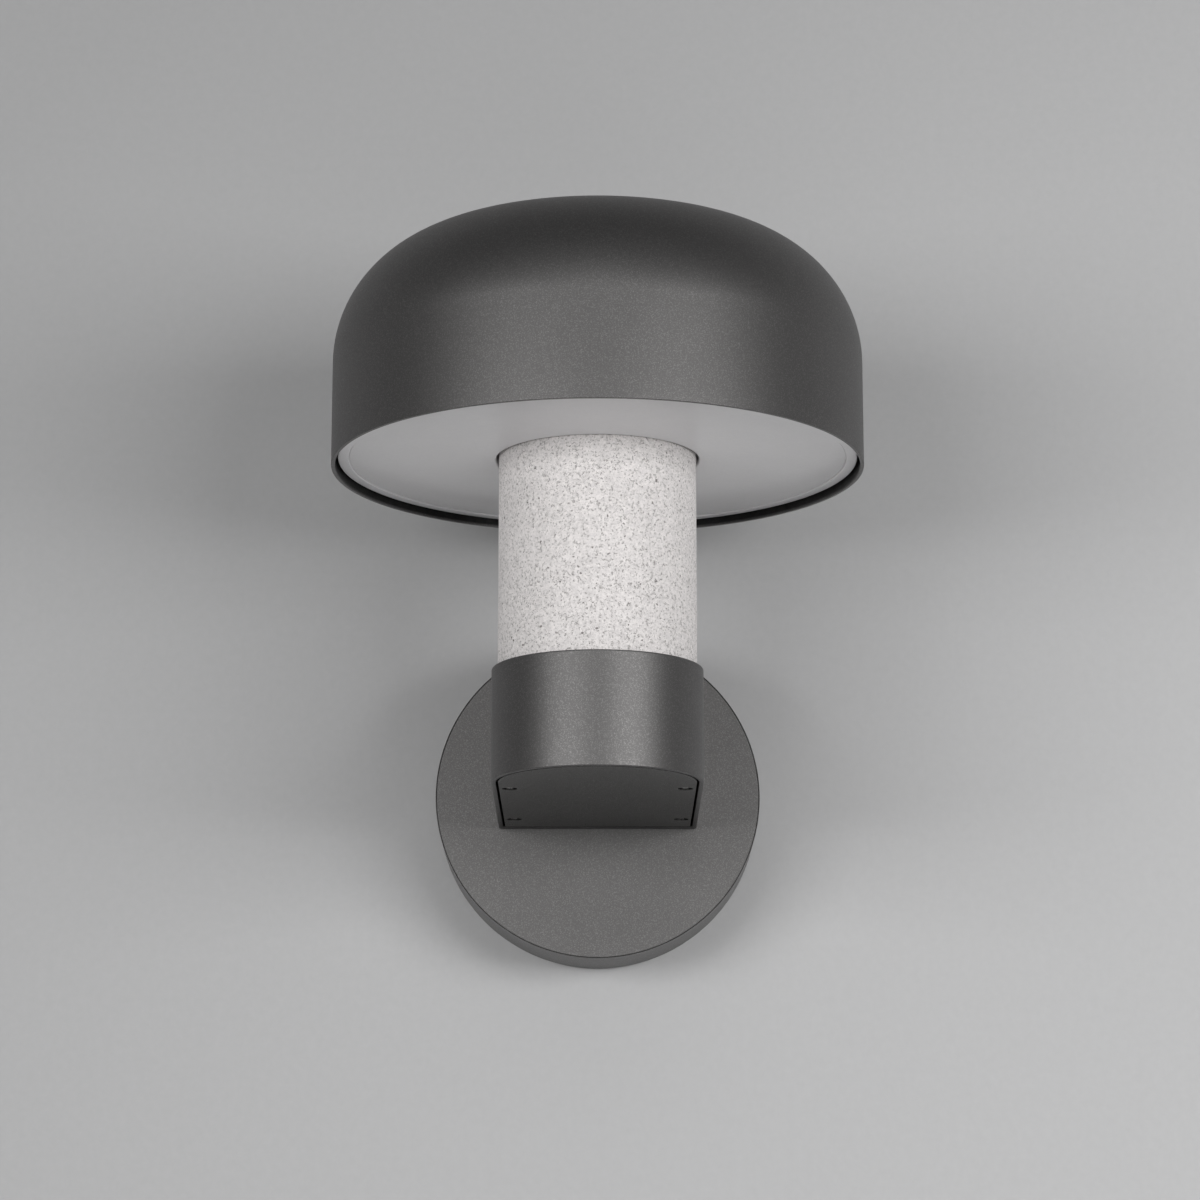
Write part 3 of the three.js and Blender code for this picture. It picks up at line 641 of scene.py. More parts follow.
def settled(maker, name, sharp=34):
    """Plain mesh piece from an object with live modifiers, which is removed."""
    graph = bpy.context.evaluated_depsgraph_get()
    mesh = bpy.data.meshes.new_from_object(
        maker.evaluated_get(graph), preserve_all_data_layers=True, depsgraph=graph)
    bpy.data.objects.remove(maker)
    mesh.name = name
    made = holder(name, mesh)
    return tidy(made, sharp)


def carved(piece, tool, operation="DIFFERENCE", sharp=34):
    """Piece with the tool's shape taken away or joined on. Both meshes are closed."""
    name = piece.name
    piece.name = name + "_blank"
    change = piece.modifiers.new("shape", "BOOLEAN")
    change.operation = operation
    change.solver = "EXACT"
    change.object = tool
    made = settled(piece, name, sharp)
    bpy.data.objects.remove(tool)
    return made


def skinned(name, loops, finish, closed=True, caps=False):
    """Joins equal loops of (point, edge) to one another, one after the next."""
    count = len(loops[0])
    points = [p for loop in loops for p, edge in loop]
    rows = len(loops)
    faces = []
    for row in range(rows if closed else rows - 1):
        here, there = row * count, (row + 1) % rows * count
        for i in range(count):
            j = (i + 1) % count
            faces.append((here + i, here + j, there + j, there + i))
    if caps:
        faces.append(tuple(range(count)))
        faces.append(tuple(range((rows - 1) * count, rows * count)))
    mesh = mesh_from(name, points, faces)
    edge = mesh.attributes.new("edge", "FLOAT", "POINT")
    edge.data.foreach_set("value", [e for loop in loops for p, e in loop])
    mesh.materials.append(finish)
    return tidy(holder(name, mesh))


def rods(name, places, finish=None, sides=24, mark=0.0):
    """Closed rods, each (start, end, radius) or (start, end, radius, end radius)."""
    points, faces = [], []
    for start, end, radius, *more in places:
        start, end = Vector(start), Vector(end)
        turn = (end - start).to_track_quat("Z", "Y")
        base = len(points)
        for centre, size in ((start, radius), (end, more[0] if more else radius)):
            for i in range(sides):
                a = 2 * pi * i / sides
                points.append(centre + turn @ Vector((size * cos(a), size * sin(a), 0)))
        for i in range(sides):
            j = (i + 1) % sides
            faces.append((base + i, base + j, base + sides + j, base + sides + i))
        faces.append(tuple(base + i for i in reversed(range(sides))))
        faces.append(tuple(base + sides + i for i in range(sides)))
    mesh = mesh_from(name, points, faces)
    edge = mesh.attributes.new("edge", "FLOAT", "POINT")
    edge.data.foreach_set("value", [mark] * len(points))
    if finish:
        mesh.materials.append(finish)
    return tidy(holder(name, mesh))


def slab(name, low, high, finish, edge=0.4, steps=3):
    """Block with rounded edges."""
    mesh = bpy.data.meshes.new(name)
    work = bmesh.new()
    bmesh.ops.create_cube(work, size=1.0)
    for v in work.verts:
        share = v.co + Vector((0.5, 0.5, 0.5))
        v.co = Vector([low[i] + (high[i] - low[i]) * share[i] for i in range(3)]) * MM
    if edge:
        bmesh.ops.bevel(work, geom=work.edges, offset=edge * MM, segments=steps,
                        profile=0.5, affect="EDGES")
    work.to_mesh(mesh)
    work.free()
    mesh.materials.append(finish)
    return tidy(holder(name, mesh), 40)


# --------------------------------------------------------------------- geometry node trees


def feed(piece, tree, **values):
    """Puts a tree on a piece and sets its named inputs."""
    live = piece.modifiers.new("maker", "NODES")
    live.node_group = tree
    for item in tree.interface.items_tree:
        if item.item_type == "SOCKET" and item.in_out == "INPUT" and item.name in values:
            live[item.identifier] = values[item.name]
    return piece


def close_tree(tree, geometry, material, result):
    """Every tree ends alike: real geometry with its material."""
    real = node(tree, "GeometryNodeRealizeInstances", {"Geometry": geometry})
    done = node(tree, "GeometryNodeSetMaterial", {
        "Geometry": real.outputs["Geometry"], "Material": material})
    tree.links.new(done.outputs["Geometry"], result["Geometry"])


def turned_tree():
    """Turns a profile line round the Z axis into a closed skin."""
    tree, given, result = new_tree("Turned piece", "GeometryNodeTree", [
        ("Profile", "Geometry", None), ("Sides", "Int", ROUND), ("Place", "Vector", None),
        ("Turn", "Vector", None), ("Finish", "Material", None)], [("Geometry", "Geometry")])
    size = node(tree, "GeometryNodeAttributeDomainSize", {"Geometry": given["Profile"]})
    rows = size.outputs["Point Count"]
    columns = node(tree, "FunctionNodeIntegerMath", {0: given["Sides"], 1: 1})
    grid = node(tree, "GeometryNodeMeshGrid", {
        "Vertices X": columns.outputs[0], "Vertices Y": rows})
    index = node(tree, "GeometryNodeInputIndex").outputs[0]
    column = node(tree, "FunctionNodeIntegerMath", {0: index, 1: rows},
                  operation="DIVIDE_FLOOR")
    row = node(tree, "FunctionNodeIntegerMath", {0: index, 1: rows}, operation="MODULO")
    spot = node(tree, "GeometryNodeSampleIndex", {
        "Geometry": given["Profile"], "Index": row.outputs[0],
        "Value": node(tree, "GeometryNodeInputPosition").outputs[0]}, data_type="FLOAT_VECTOR")
    mark = node(tree, "GeometryNodeInputNamedAttribute", {"Name": "edge"}, data_type="FLOAT")
    edge = node(tree, "GeometryNodeSampleIndex", {
        "Geometry": given["Profile"], "Index": row.outputs[0],
        "Value": out(mark, "Attribute")}, data_type="FLOAT")
    part = node(tree, "ShaderNodeSeparateXYZ", {"Vector": out(spot)})
    angle = math(tree, "DIVIDE", times(tree, column.outputs[0], 2 * pi),
                 given["Sides"])
    across = times(tree, part.outputs["X"], math(tree, "COSINE", angle))
    along = times(tree, part.outputs["X"], math(tree, "SINE", angle))
    where = node(tree, "ShaderNodeCombineXYZ", {
        "X": across, "Y": along, "Z": part.outputs["Z"]})
    marked = node(tree, "GeometryNodeStoreNamedAttribute", {
        "Geometry": grid.outputs["Mesh"], "Name": "edge", "Value": out(edge)},
        data_type="FLOAT", domain="POINT")
    shaped = node(tree, "GeometryNodeSetPosition", {
        "Geometry": marked.outputs["Geometry"], "Position": where.outputs["Vector"]})
    merged = node(tree, "GeometryNodeMergeByDistance", {
        "Geometry": shaped.outputs["Geometry"], "Distance": 1e-6})
    stood = node(tree, "GeometryNodeTransform", {
        "Geometry": merged.outputs["Geometry"], "Translation": given["Place"],
        "Rotation": given["Turn"]})
    close_tree(tree, stood.outputs["Geometry"], given["Finish"], result)
    return tree


def instance_tree():
    """Puts a copy of one part on every point, its +Z along the point's facing, each turned
    by chance about that line."""
    tree, given, result = new_tree("Fixings", "GeometryNodeTree", [
        ("Places", "Geometry", None), ("Part", "Object", None), ("Spin", "Float", 2 * pi),
        ("Seed", "Int", 1), ("Finish", "Material", None)], [("Geometry", "Geometry")])
    dots = node(tree, "GeometryNodeMeshToPoints", {"Mesh": given["Places"]})
    part = node(tree, "GeometryNodeObjectInfo", {"Object": given["Part"]})
    facing = node(tree, "GeometryNodeInputNamedAttribute", {"Name": "facing"},
                  data_type="FLOAT_VECTOR")
    aim = node(tree, "FunctionNodeAlignRotationToVector", {
        "Vector": out(facing, "Attribute")}, axis="Z")
    chance = node(tree, "FunctionNodeRandomValue", {
        "Min": 0.0, "Max": given["Spin"], "Seed": given["Seed"]}, data_type="FLOAT")
    spin = node(tree, "FunctionNodeAxisAngleToRotation", {
        "Axis": (0.0, 0.0, 1.0), "Angle": out(chance)})
    turn = node(tree, "FunctionNodeRotateRotation", {
        "Rotation": aim.outputs[0], "Rotate By": spin.outputs[0]}, rotation_space="LOCAL")
    copies = node(tree, "GeometryNodeInstanceOnPoints", {
        "Points": dots.outputs["Points"], "Instance": part.outputs["Geometry"],
        "Rotation": turn.outputs[0]})
    close_tree(tree, copies.outputs["Instances"], given["Finish"], result)
    return tree


def lead_tree():
    """A round lead along a route of points."""
    tree, given, result = new_tree("Lead", "GeometryNodeTree", [
        ("Route", "Geometry", None), ("Radius", "Float", 0.003), ("Steps", "Int", 90),
        ("Sides", "Int", 24), ("Finish", "Material", None)], [("Geometry", "Geometry")])
    line = node(tree, "GeometryNodeMeshToCurve", {"Mesh": given["Route"]})
    smooth = node(tree, "GeometryNodeCurveSplineType", {
        "Curve": line.outputs["Curve"]}, spline_type="CATMULL_ROM")
    even = node(tree, "GeometryNodeResampleCurve", {
        "Curve": smooth.outputs["Curve"], "Count": given["Steps"]})
    section = node(tree, "GeometryNodeCurvePrimitiveCircle", {
        "Resolution": given["Sides"], "Radius": given["Radius"]})
    tube = node(tree, "GeometryNodeCurveToMesh", {
        "Curve": even.outputs["Curve"], "Profile Curve": section.outputs["Curve"],
        "Fill Caps": True})
    close_tree(tree, tube.outputs["Mesh"], given["Finish"], result)
    return tree


def pore_tree():
    """Cuts small pits of mixed sizes into the upright walls of a casting."""
    tree, given, result = new_tree("Pores", "GeometryNodeTree", [
        ("Casting", "Geometry", None), ("Density", "Float", 36000.0),
        ("Smallest", "Float", 0.00013), ("Largest", "Float", 0.00055),
        ("Seed", "Int", 7), ("Finish", "Material", None)], [("Geometry", "Geometry")])
    normal = node(tree, "GeometryNodeInputNormal").outputs[0]
    tilt = node(tree, "ShaderNodeSeparateXYZ", {"Vector": normal}).outputs["Z"]
    level = math(tree, "LESS_THAN", math(tree, "ABSOLUTE", tilt), 0.05)
    place = node(tree, "GeometryNodeInputPosition").outputs[0]
    lie = node(tree, "ShaderNodeVectorMath", {0: normal, 1: place}, operation="DOT_PRODUCT")
    scatter = node(tree, "GeometryNodeDistributePointsOnFaces", {
        "Mesh": given["Casting"], "Selection": level, "Density": given["Density"],
        "Seed": given["Seed"]})
    chance = node(tree, "FunctionNodeRandomValue", {
        "Min": 0.0, "Max": 1.0, "Seed": given["Seed"]}, data_type="FLOAT")
    small = math(tree, "POWER", out(chance), 3.0)
    spread = less(tree, given["Largest"], given["Smallest"])
    radius = plus(tree, given["Smallest"], times(tree, small, spread))
    shape = node(tree, "FunctionNodeRandomValue", {
        "Min": (0.7, 0.5, 0.45), "Max": (1.5, 1.0, 0.8),
        "Seed": plus(tree, given["Seed"], 1)}, data_type="FLOAT_VECTOR")
    size = node(tree, "ShaderNodeVectorMath", {
        0: out(shape), "Scale": radius}, operation="SCALE")
    spin = node(tree, "FunctionNodeRandomValue", {
        "Min": 0.0, "Max": 2 * pi, "Seed": plus(tree, given["Seed"], 2)},
        data_type="FLOAT")
    turn = node(tree, "FunctionNodeAxisAngleToRotation", {
        "Axis": (0.0, 0.0, 1.0), "Angle": out(spin)})
    lying = node(tree, "FunctionNodeRotateRotation", {
        "Rotation": scatter.outputs["Rotation"], "Rotate By": turn.outputs[0]},
        rotation_space="LOCAL")
    ball = node(tree, "GeometryNodeMeshIcoSphere", {"Radius": 1.0, "Subdivisions": 2})
    marked = node(tree, "GeometryNodeStoreNamedAttribute", {
        "Geometry": ball.outputs["Mesh"], "Name": "pore", "Value": 1.0},
        data_type="FLOAT", domain="FACE")
    pits = node(tree, "GeometryNodeInstanceOnPoints", {
        "Points": scatter.outputs["Points"], "Instance": marked.outputs["Geometry"],
        "Rotation": lying.outputs[0], "Scale": size.outputs["Vector"]})
    cut = node(tree, "GeometryNodeMeshBoolean", {
        "Mesh 1": given["Casting"], "Mesh 2": pits.outputs["Instances"]},
        operation="DIFFERENCE", solver="MANIFOLD")
    close_tree(tree, cut.outputs["Mesh"], given["Finish"], result)
    return tree


turning = turned_tree()
fixings = instance_tree()
leads = lead_tree()
pores = pore_tree()


def turn(name, corners, finish, place=(0, 0, 0), lie=(0, 0, 0), sides=ROUND, loop=True):
    """A piece turned about an axis through place. Corners are (radius, height, rounding)."""
    line = soften(corners, loop)
    if loop:
        line.append(line[0])
    points = [(x, 0, z) for x, z, edge, corner in line]
    profile = mesh_from(name + "_profile", points, [], [(i, i + 1) for i in range(len(line) - 1)])
    edge = profile.attributes.new("edge", "FLOAT", "POINT")
    edge.data.foreach_set("value", [mark for x, z, mark, corner in line])
    blank = feed(holder(name + "_profile", profile), turning, Sides=sides,
                 Place=tuple(Vector(place) * MM), Turn=lie, Finish=finish)
    return settled(blank, name)


def ring(name, outer, bore, z0, z1, finish, edge=0.3, **more):
    return turn(name, [(bore, z0, edge), (outer, z0, edge), (outer, z1, edge),
                       (bore, z1, edge)], finish, **more)


WALL_WISE = (pi / 2, 0.0, 0.0)     # a turned piece whose axis runs out from the wall
STEM_AXIS = (0.0, stem_y, 0.0)


def keep(piece, slot, *nodes):
    """The finished piece rides on the light and stands for its CAD nodes. The slot is not used.
    """
    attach(piece, "root")
    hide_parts(*nodes)
    return piece


# ------------------------------------------------------------------- D-shaped outlines

FRONT_STEPS, SIDE_STEPS, CORNER_STEPS, BACK_STEPS = 96, 6, 4, 12


def plan(half, back, corner):
    """The arm's outline from above: round about the stem in front, square at the back."""
    corner = max(corner, 0.05)
    line = []
    for i in range(FRONT_STEPS + 1):
        a = -pi * i / FRONT_STEPS
        line.append((half * cos(a), stem_y + half * sin(a)))
    side = back - corner - stem_y
    for i in range(1, SIDE_STEPS + 1):
        line.append((-half, stem_y + side * i / SIDE_STEPS))
    for i in range(1, CORNER_STEPS + 1):
        a = pi - pi / 2 * i / CORNER_STEPS
        line.append((corner - half + corner * cos(a), back - corner + corner * sin(a)))
    for i in range(1, BACK_STEPS + 1):
        line.append((corner - half + 2 * (half - corner) * i / BACK_STEPS, back))
    for i in range(1, CORNER_STEPS + 1):
        a = pi / 2 - pi / 2 * i / CORNER_STEPS
        line.append((half - corner + corner * cos(a), back - corner + corner * sin(a)))
    for i in range(1, SIDE_STEPS):
        line.append((half, stem_y + side * (1 - i / SIDE_STEPS)))
    return line


def plan_loop(outline, grow, z, edge):
    """One loop of points: a D-shaped outline or, for a single radius, a circle round the
    stem's axis that keeps step with it."""
    if len(outline) == 1:
        radius = outline[0] + grow
        angles = [atan2(y - stem_y, x) for x, y in plan(arm_half, arm_back, EDGE)]
        return [((radius * cos(a), stem_y + radius * sin(a), z), edge) for a in angles]
    half, back, corner = outline
    return [((x, y, z), edge) for x, y in plan(half + grow, back + grow, corner + grow)]


def swept(name, corners, finish, solid=False):
    """A skin swept round D-shaped outlines. Corners are (outline, height, rounding), in order
    round the section. A solid one has a flat face over each end of the section."""
    nominal = [(outline[0], z, *more) for outline, z, *more in corners]
    if solid:
        nominal = [(0, corners[0][1], 0), *nominal, (0, corners[-1][1], 0)]
        corners = [None, *corners, None]
    line = soften(nominal, loop=not solid)
    loops = [plan_loop(corners[i][0], x - nominal[i][0], z, edge)
             for x, z, edge, i in line if corners[i]]
    return skinned(name, loops, finish, closed=not solid, caps=solid)


# ------------------------------------------------------------------------------- fixings


def thread_loops(radius, top, bottom, pitch, sides):
    """Loops of a helical thread from top down to bottom, run out at both ends."""
    depth = 0.5 * pitch
    rows = max(4, round((top - bottom) / pitch * 4))
    loops = []
    for row in range(rows + 1):
        z = top + (bottom - top) * row / rows
        fade = min(1.0, min(row, rows - row) / 3)
        loop = []
        for i in range(sides):
            turns = z / pitch - i / sides
            ridge = abs(2 * (turns % 1) - 1)
            loop.append(((radius - depth * fade * ridge) * MM, 2 * pi * i / sides, z))
        loops.append([((r / MM * cos(a), r / MM * sin(a), z), 0.0) for r, a, z in loop])
    return loops


def circle(radius, z, sides, edge=0.0):
    return [((radius * cos(2 * pi * i / sides), radius * sin(2 * pi * i / sides), z), edge)
            for i in range(sides)]


def screw(name, head, height, shank, length, drive, finish, style="pan", pitch=0.5):
    """A screw with the top of its head at the origin, pointing up. The drive is a hexagon
    socket for a cap head and a cross recess for the others."""
    sides = 24
    under = -height
    if style == "sunk":
        shape = [(head, 0.0), (head, -0.15), (shank + 0.1, under)]
    elif style == "cap":
        shape = [(head - 0.35, 0.0), (head - 0.1, -0.1), (head, -0.35), (head, under + 0.15),
                 (head - 0.15, under)]
    else:
        dome = [(head * sin(a), height * 0.62 * (cos(a) - 1))
                for a in (radians(25), radians(45), radians(65), radians(85))]
        shape = [*dome, (head, under + 0.15), (head - 0.12, under)]
    loops = [circle(r, z, sides, 1.0) for r, z in shape]
    loops.append(circle(shank, under - 0.05, sides))
    tip = under - length
    loops += thread_loops(shank, under - 0.5 * pitch, tip + 0.8 * shank, pitch, sides)
    loops.append(circle(shank * 0.45, tip, sides))
    made = skinned(name, loops, finish, closed=False, caps=True)
    if style == "cap":
        socket = rods("socket", [((0, 0, 0.5), (0, 0, -0.55 * height), drive)], sides=6)
        return carved(made, socket)
    arm, thin = drive, drive * 0.3
    deep = -0.6 * height
    blade = slab("blade", (-arm, -thin, deep), (arm, thin, 0.5), finish, 0)
    other = slab("other", (-thin, -arm, deep), (thin, arm, 0.5), finish, 0)
    return carved(carved(made, blade), other)


def fixed(name, nodes, facing, part, slot, finish, seed):
    """Copies of a part in the places of CAD nodes, with their heads where the nodes end."""
    heads, ways = [], []
    for node_name in nodes:
        low, high = corners_of(node_name)
        way = Vector(facing or (1 if high.x > 0 else -1, 0, 0))
        heads.append((low + high) / 2 + way * abs((high - low).dot(way)) / 2)
        ways.append(way)
    places = mesh_from(name + "_places", heads, [])
    marks = places.attributes.new("facing", "FLOAT_VECTOR", "POINT")
    marks.data.foreach_set("vector", [c for way in ways for c in way])
    maker = feed(holder(name + "_places", places), fixings, Part=part, Seed=seed,
                 Spin=2 * pi, Finish=finish)
    made = settled(maker, name)
    bpy.data.objects.remove(part)
    return keep(made, slot, *nodes)


# =========================================================================== the pieces

# ------------------------------------------------------------------------------- shade


def arc(centre, height, radius, start, end, steps):
    return [(centre + radius * cos(start + (end - start) * i / steps),
             height + radius * sin(start + (end - start) * i / steps), 0.0)
            for i in range(steps + 1)]


def dome(inset, reach):
    """The dome's line from the side up to reach from the axis: a corner, then the crown."""
    bend = acos((shade_radius - shade_corner) / (crown_radius - shade_corner))
    centre = side_top - sqrt((crown_radius - shade_corner) ** 2
                             - (shade_radius - shade_corner) ** 2)
    end = acos(reach / (crown_radius - inset))
    corner = arc(shade_radius - shade_corner, side_top, shade_corner - inset, 0, bend, 28)
    crown = arc(0, centre, crown_radius - inset, bend, end, 20)
    return corner + crown[1:]


def make_shade():
    thread = tube_radius + screw_gap
    boss_bottom = corners_of("shade_spacer")[1].z + screw_gap
    thread_top = corners_of("clamp_tube")[1].z + 1
    outside, inside = dome(0, 0), dome(shade_wall, shade_boss + 0.6)
    outside[-1] = (0.0, crown_z, 0.0)
    root_z = inside[-1][1]
    # The marks of -1 on the inner wall above the rim give that wall painted shade.
    corners = [
        (shade_inner, rim_z + 1.2, 0.0, -1.0), (shade_inner, rim_z, 0.2),
        (shade_radius, rim_z, 0.25), *outside,
        (0.0, thread_top, 0.0), (thread, thread_top, 0.3), (thread, boss_bottom, 0.4),
        (shade_boss, boss_bottom, 0.5), (shade_boss, root_z - 0.2, 0.0),
        *reversed(inside[1:]), (*inside[0][:2], 0.0, -1.0)]
    return keep(turn("lamp_shade", corners, coat, STEM_AXIS), "anthracite_coat", "shade")


make_shade()

# ---------------------------------------------------------------------------- diffuser


def make_diffuser():
    lip = diffuser_outer - lip_width
    floor_top = diffuser_face + diffuser_floor
    top = diffuser_high.z
    outer, inner = diffuser_outer - diffuser_wall, diffuser_inner + diffuser_wall
    tray = turn("opal_diffuser", [
        (diffuser_inner, diffuser_face, 0.8),
        (lip - 0.5, diffuser_face, 0.0), (lip - 0.4, diffuser_face + 0.35, 0.0),
        (lip - 0.1, diffuser_face + 0.35, 0.0), (lip, diffuser_face - lip_drop, 0.25),
        (diffuser_outer, diffuser_face - lip_drop, 0.5),
        (diffuser_outer, top, 0.3), (outer, top, 0.3), (outer, floor_top, 0.8),
        (inner, floor_top, 0.8), (inner, top, 0.3), (diffuser_inner, top, 0.3)],
        opal, STEM_AXIS)
    centres = [c for low, high, c in spots(numbered("diffuser_screw", 3), Z)]
    foot = diffuser_face + diffuser_floor / 2
    posts = rods("posts", [(c + UPWARD * foot, c + UPWARD * top, board_post)
                           for c in centres], opal, 32)
    pilots = rods("pilots", [(c + UPWARD * floor_top, c + UPWARD * (top + 1), driver_screw_hole)
                             for c in centres], mark=-1.0)
    return keep(carved(carved(tray, posts, "UNION"), pilots), "opal", "diffuser")


make_diffuser()

# ------------------------------------------------------------------------ concrete stem


def make_stem():
    rows = [(stem_radius, stem_low.z + (stem_high.z - stem_low.z) * i / 40, 0.0)
            for i in range(1, 40)]
    blank = turn("stem_blank", [
        (stem_bore, stem_low.z, 0.45), (stem_radius, stem_low.z, 0.45), *rows,
        (stem_radius, stem_high.z, 0.45), (stem_bore, stem_high.z, 0.45)], concrete, STEM_AXIS)
    pitted = feed(blank, pores, Finish=concrete)
    return keep(settled(pitted, "cast_stem", 50), "concrete", "concrete_stem")


make_stem()

# -------------------------------------------------------------------------- arm housing


def plate_holes(start, end):
    """The holes that arm and plate share: four for screws, and one for the lead."""
    nodes = [*numbered("arm_screw", 4), "plate_grommet"]
    sizes = [arm_screw_hole] * 4 + [lead_hole]
    return [(c + start, c + end, size)
            for (low, high, c), size in zip(spots(nodes, Y), sizes)]


def make_arm():
    seat = stem_radius + seat_clearance
    bore = tube_radius + tube_clearance
    outer = (arm_half, arm_back, EDGE)
    pocket = (arm_half - arm_wall, web_y, 1.0)
    cavity = (arm_half - arm_wall - arm_ledge, web_y - 0.6, 2.0)
    ledge_z = corners_of("cover_seal")[1].z + screw_gap
    seat_z = arm_top - seat_depth
    # The marks below 0 in the pocket, the cavity and the holes give the coat painted shade there.
    shell = swept("arm", [
        ((bore,), arm_roof_z, 0.0), ((bore,), seat_z, 0.3), ((seat,), seat_z, 0.4),
        ((seat,), arm_top, 0.3), (outer, arm_top, EDGE), (outer, arm_bottom, 0.35),
        (pocket, arm_bottom, 0.1, -0.5), (pocket, arm_bottom + 0.9, 0.0, -1.0),
        (pocket, ledge_z, 0.3, -1.0), (cavity, ledge_z, 0.3, -1.0),
        (cavity, arm_roof_z, 1.0)], coat)
    bosses, holes = [], []
    root = UPWARD * (arm_roof_z + 1)
    for low, high, c in spots(numbered("cover_screw", 4), Z):
        bosses.append((c + UPWARD * (cover_top + screw_gap), c + root, cover_boss))
        holes.append((c + UPWARD * (cover_top - 1), c + UPWARD * (high.z + 1.5),
                      cover_screw_hole))
    for low, high, c in spots(numbered("driver_screw", 2), Z):
        bosses.append((c + UPWARD * (low.z + driver_ear), c + root, driver_boss))
        holes.append((c + UPWARD * (low.z + 3), c + UPWARD * (high.z + 1.5),
                      driver_screw_hole))
    holes += plate_holes(INWARD * (web_y - 2), INWARD * (arm_back + 2))
    joined = carved(shell, rods("bosses", bosses, coat, 32), "UNION")
    made = carved(joined, rods("holes", holes, coat, 24, -1.0))
    made.name = "arm_casting"
    return keep(made, "anthracite_coat", "arm_housing")


make_arm()

# ------------------------------------------------------------------------- bottom cover


def make_cover():
    outline = (cover_half, cover_back, 0.8)
    # The marks of -1 on the cover's upper side and in the counterbores and holes give painted
    # shade there.
    plate = swept("cover_plate", [
        (outline, arm_bottom, 0.25), (outline, arm_bottom + 0.8, 0.0, -1.0),
        (outline, cover_top, 0.2, -1.0)],
                  cover_coat, solid=True)
    wide = counterbore_radius
    cuts = [(arm_bottom - 1, arm_bottom + counterbore_depth, wide),
            (arm_bottom - 0.3, arm_bottom + 0.2, wide + 0.5, wide),
            (arm_bottom + 0.5, cover_top + 1, cover_screw_hole)]
    for start, end, *radii in cuts:
        places = [(c + UPWARD * start, c + UPWARD * end, *radii)
                  for low, high, c in spots(numbered("cover_screw", 4), Z)]
        plate = carved(plate, rods("tool", places, cover_coat, 48, -1.0))
    return keep(plate, "cover_coat", "bottom_cover")


make_cover()


def make_cover_cord():
    low, high = corners_of("cover_seal")
    cord_width, cord_gap, edge = 1.5, 0.3, 0.4
    outer, inner = [(arm_half - arm_wall - inset, web_y - inset, 0.8)
                    for inset in (cord_gap, cord_gap + cord_width)]
    cord = swept("cover_cord", [(outer, low.z, edge), (outer, high.z, edge),
                                (inner, high.z, edge), (inner, low.z, edge)], rubber)
    return keep(cord, "rubber", "cover_seal")


make_cover_cord()

# --------------------------------------------------------------------------- wall plate


def make_plate():
    inner = plate_radius - plate_wall
    step = plate_radius - reveal_inset
    rim = plate_face - reveal_step
    # The marks of -1 in the reveal groove, the holes and the shanks give the coat painted shade
    # there.
    cup = turn("plate_cup", [
        (inner, plate_back, 0.3), (plate_radius, plate_back, EDGE),
        (plate_radius, rim, 0.08), (step + reveal_width, rim, 0.04),
        (step + reveal_width, plate_face - 0.4, 0.0, -1.0),
        (step + reveal_width, plate_face - reveal_depth, 0.0, -1.0),
        (step, plate_face - reveal_depth, 0.0, -1.0),
        (step, plate_face - 0.4, 0.0, -1.0), (step, plate_face, 0.06),
        (0.0, plate_face, 0.0), (0.0, plate_face - plate_front, 0.0),
        (inner, plate_face - plate_front, 1.0)], coat, lie=WALL_WISE)
    holes = plate_holes(-INWARD * (plate_face + 1), -INWARD * (plate_face - 4))
    cup = carved(cup, rods("holes", holes, coat, 40, -1.0))
    sinks, shanks = [], []
    for low, high, c in spots(["plate_screw_left", "plate_screw_right"], X):
        out_way = ACROSS if high.x > 0 else -ACROSS
        hole = plate_screw_hole
        sinks.append((c + out_way * (plate_radius - plate_wall),
                      c + out_way * (plate_radius + 0.5), hole, plate_screw_sink))
        shanks.append((c + out_way * (plate_radius - 4), c + out_way * (plate_radius - 1), hole))
    cup = carved(cup, rods("sinks", sinks, coat, 40))
    cup = carved(cup, rods("shanks", shanks, coat, 40, -1.0))
    return keep(cup, "anthracite_coat", "wall_plate")


make_plate()

low, high = corners_of("wall_seal")
keep(ring("foam_ring", high.x, plate_radius - plate_wall, 0.0, -low.y, rubber, 0.35,
          lie=WALL_WISE), "rubber", "wall_seal")

# --------------------------------------------------------------------- behind the plate


def prism(name, outline, start, end, finish, mark=0.0):
    """Closed bar along Y from start to end, with an outline across X and Z."""
    loops = [[((x, y, z), mark) for x, z in outline] for y in (start, end)]
    return skinned(name, loops, finish, closed=False, caps=True)


def stadium(x, length, width, steps=16):
    """Outline of a slot lying along X."""
    reach, radius = (length - width) / 2, width / 2
    line = []
    for side in (1, -1):
        for i in range(steps + 1):
            a = -pi / 2 + pi * i / steps
            line.append((x + side * (reach + radius * cos(a)), side * radius * sin(a)))
    return line


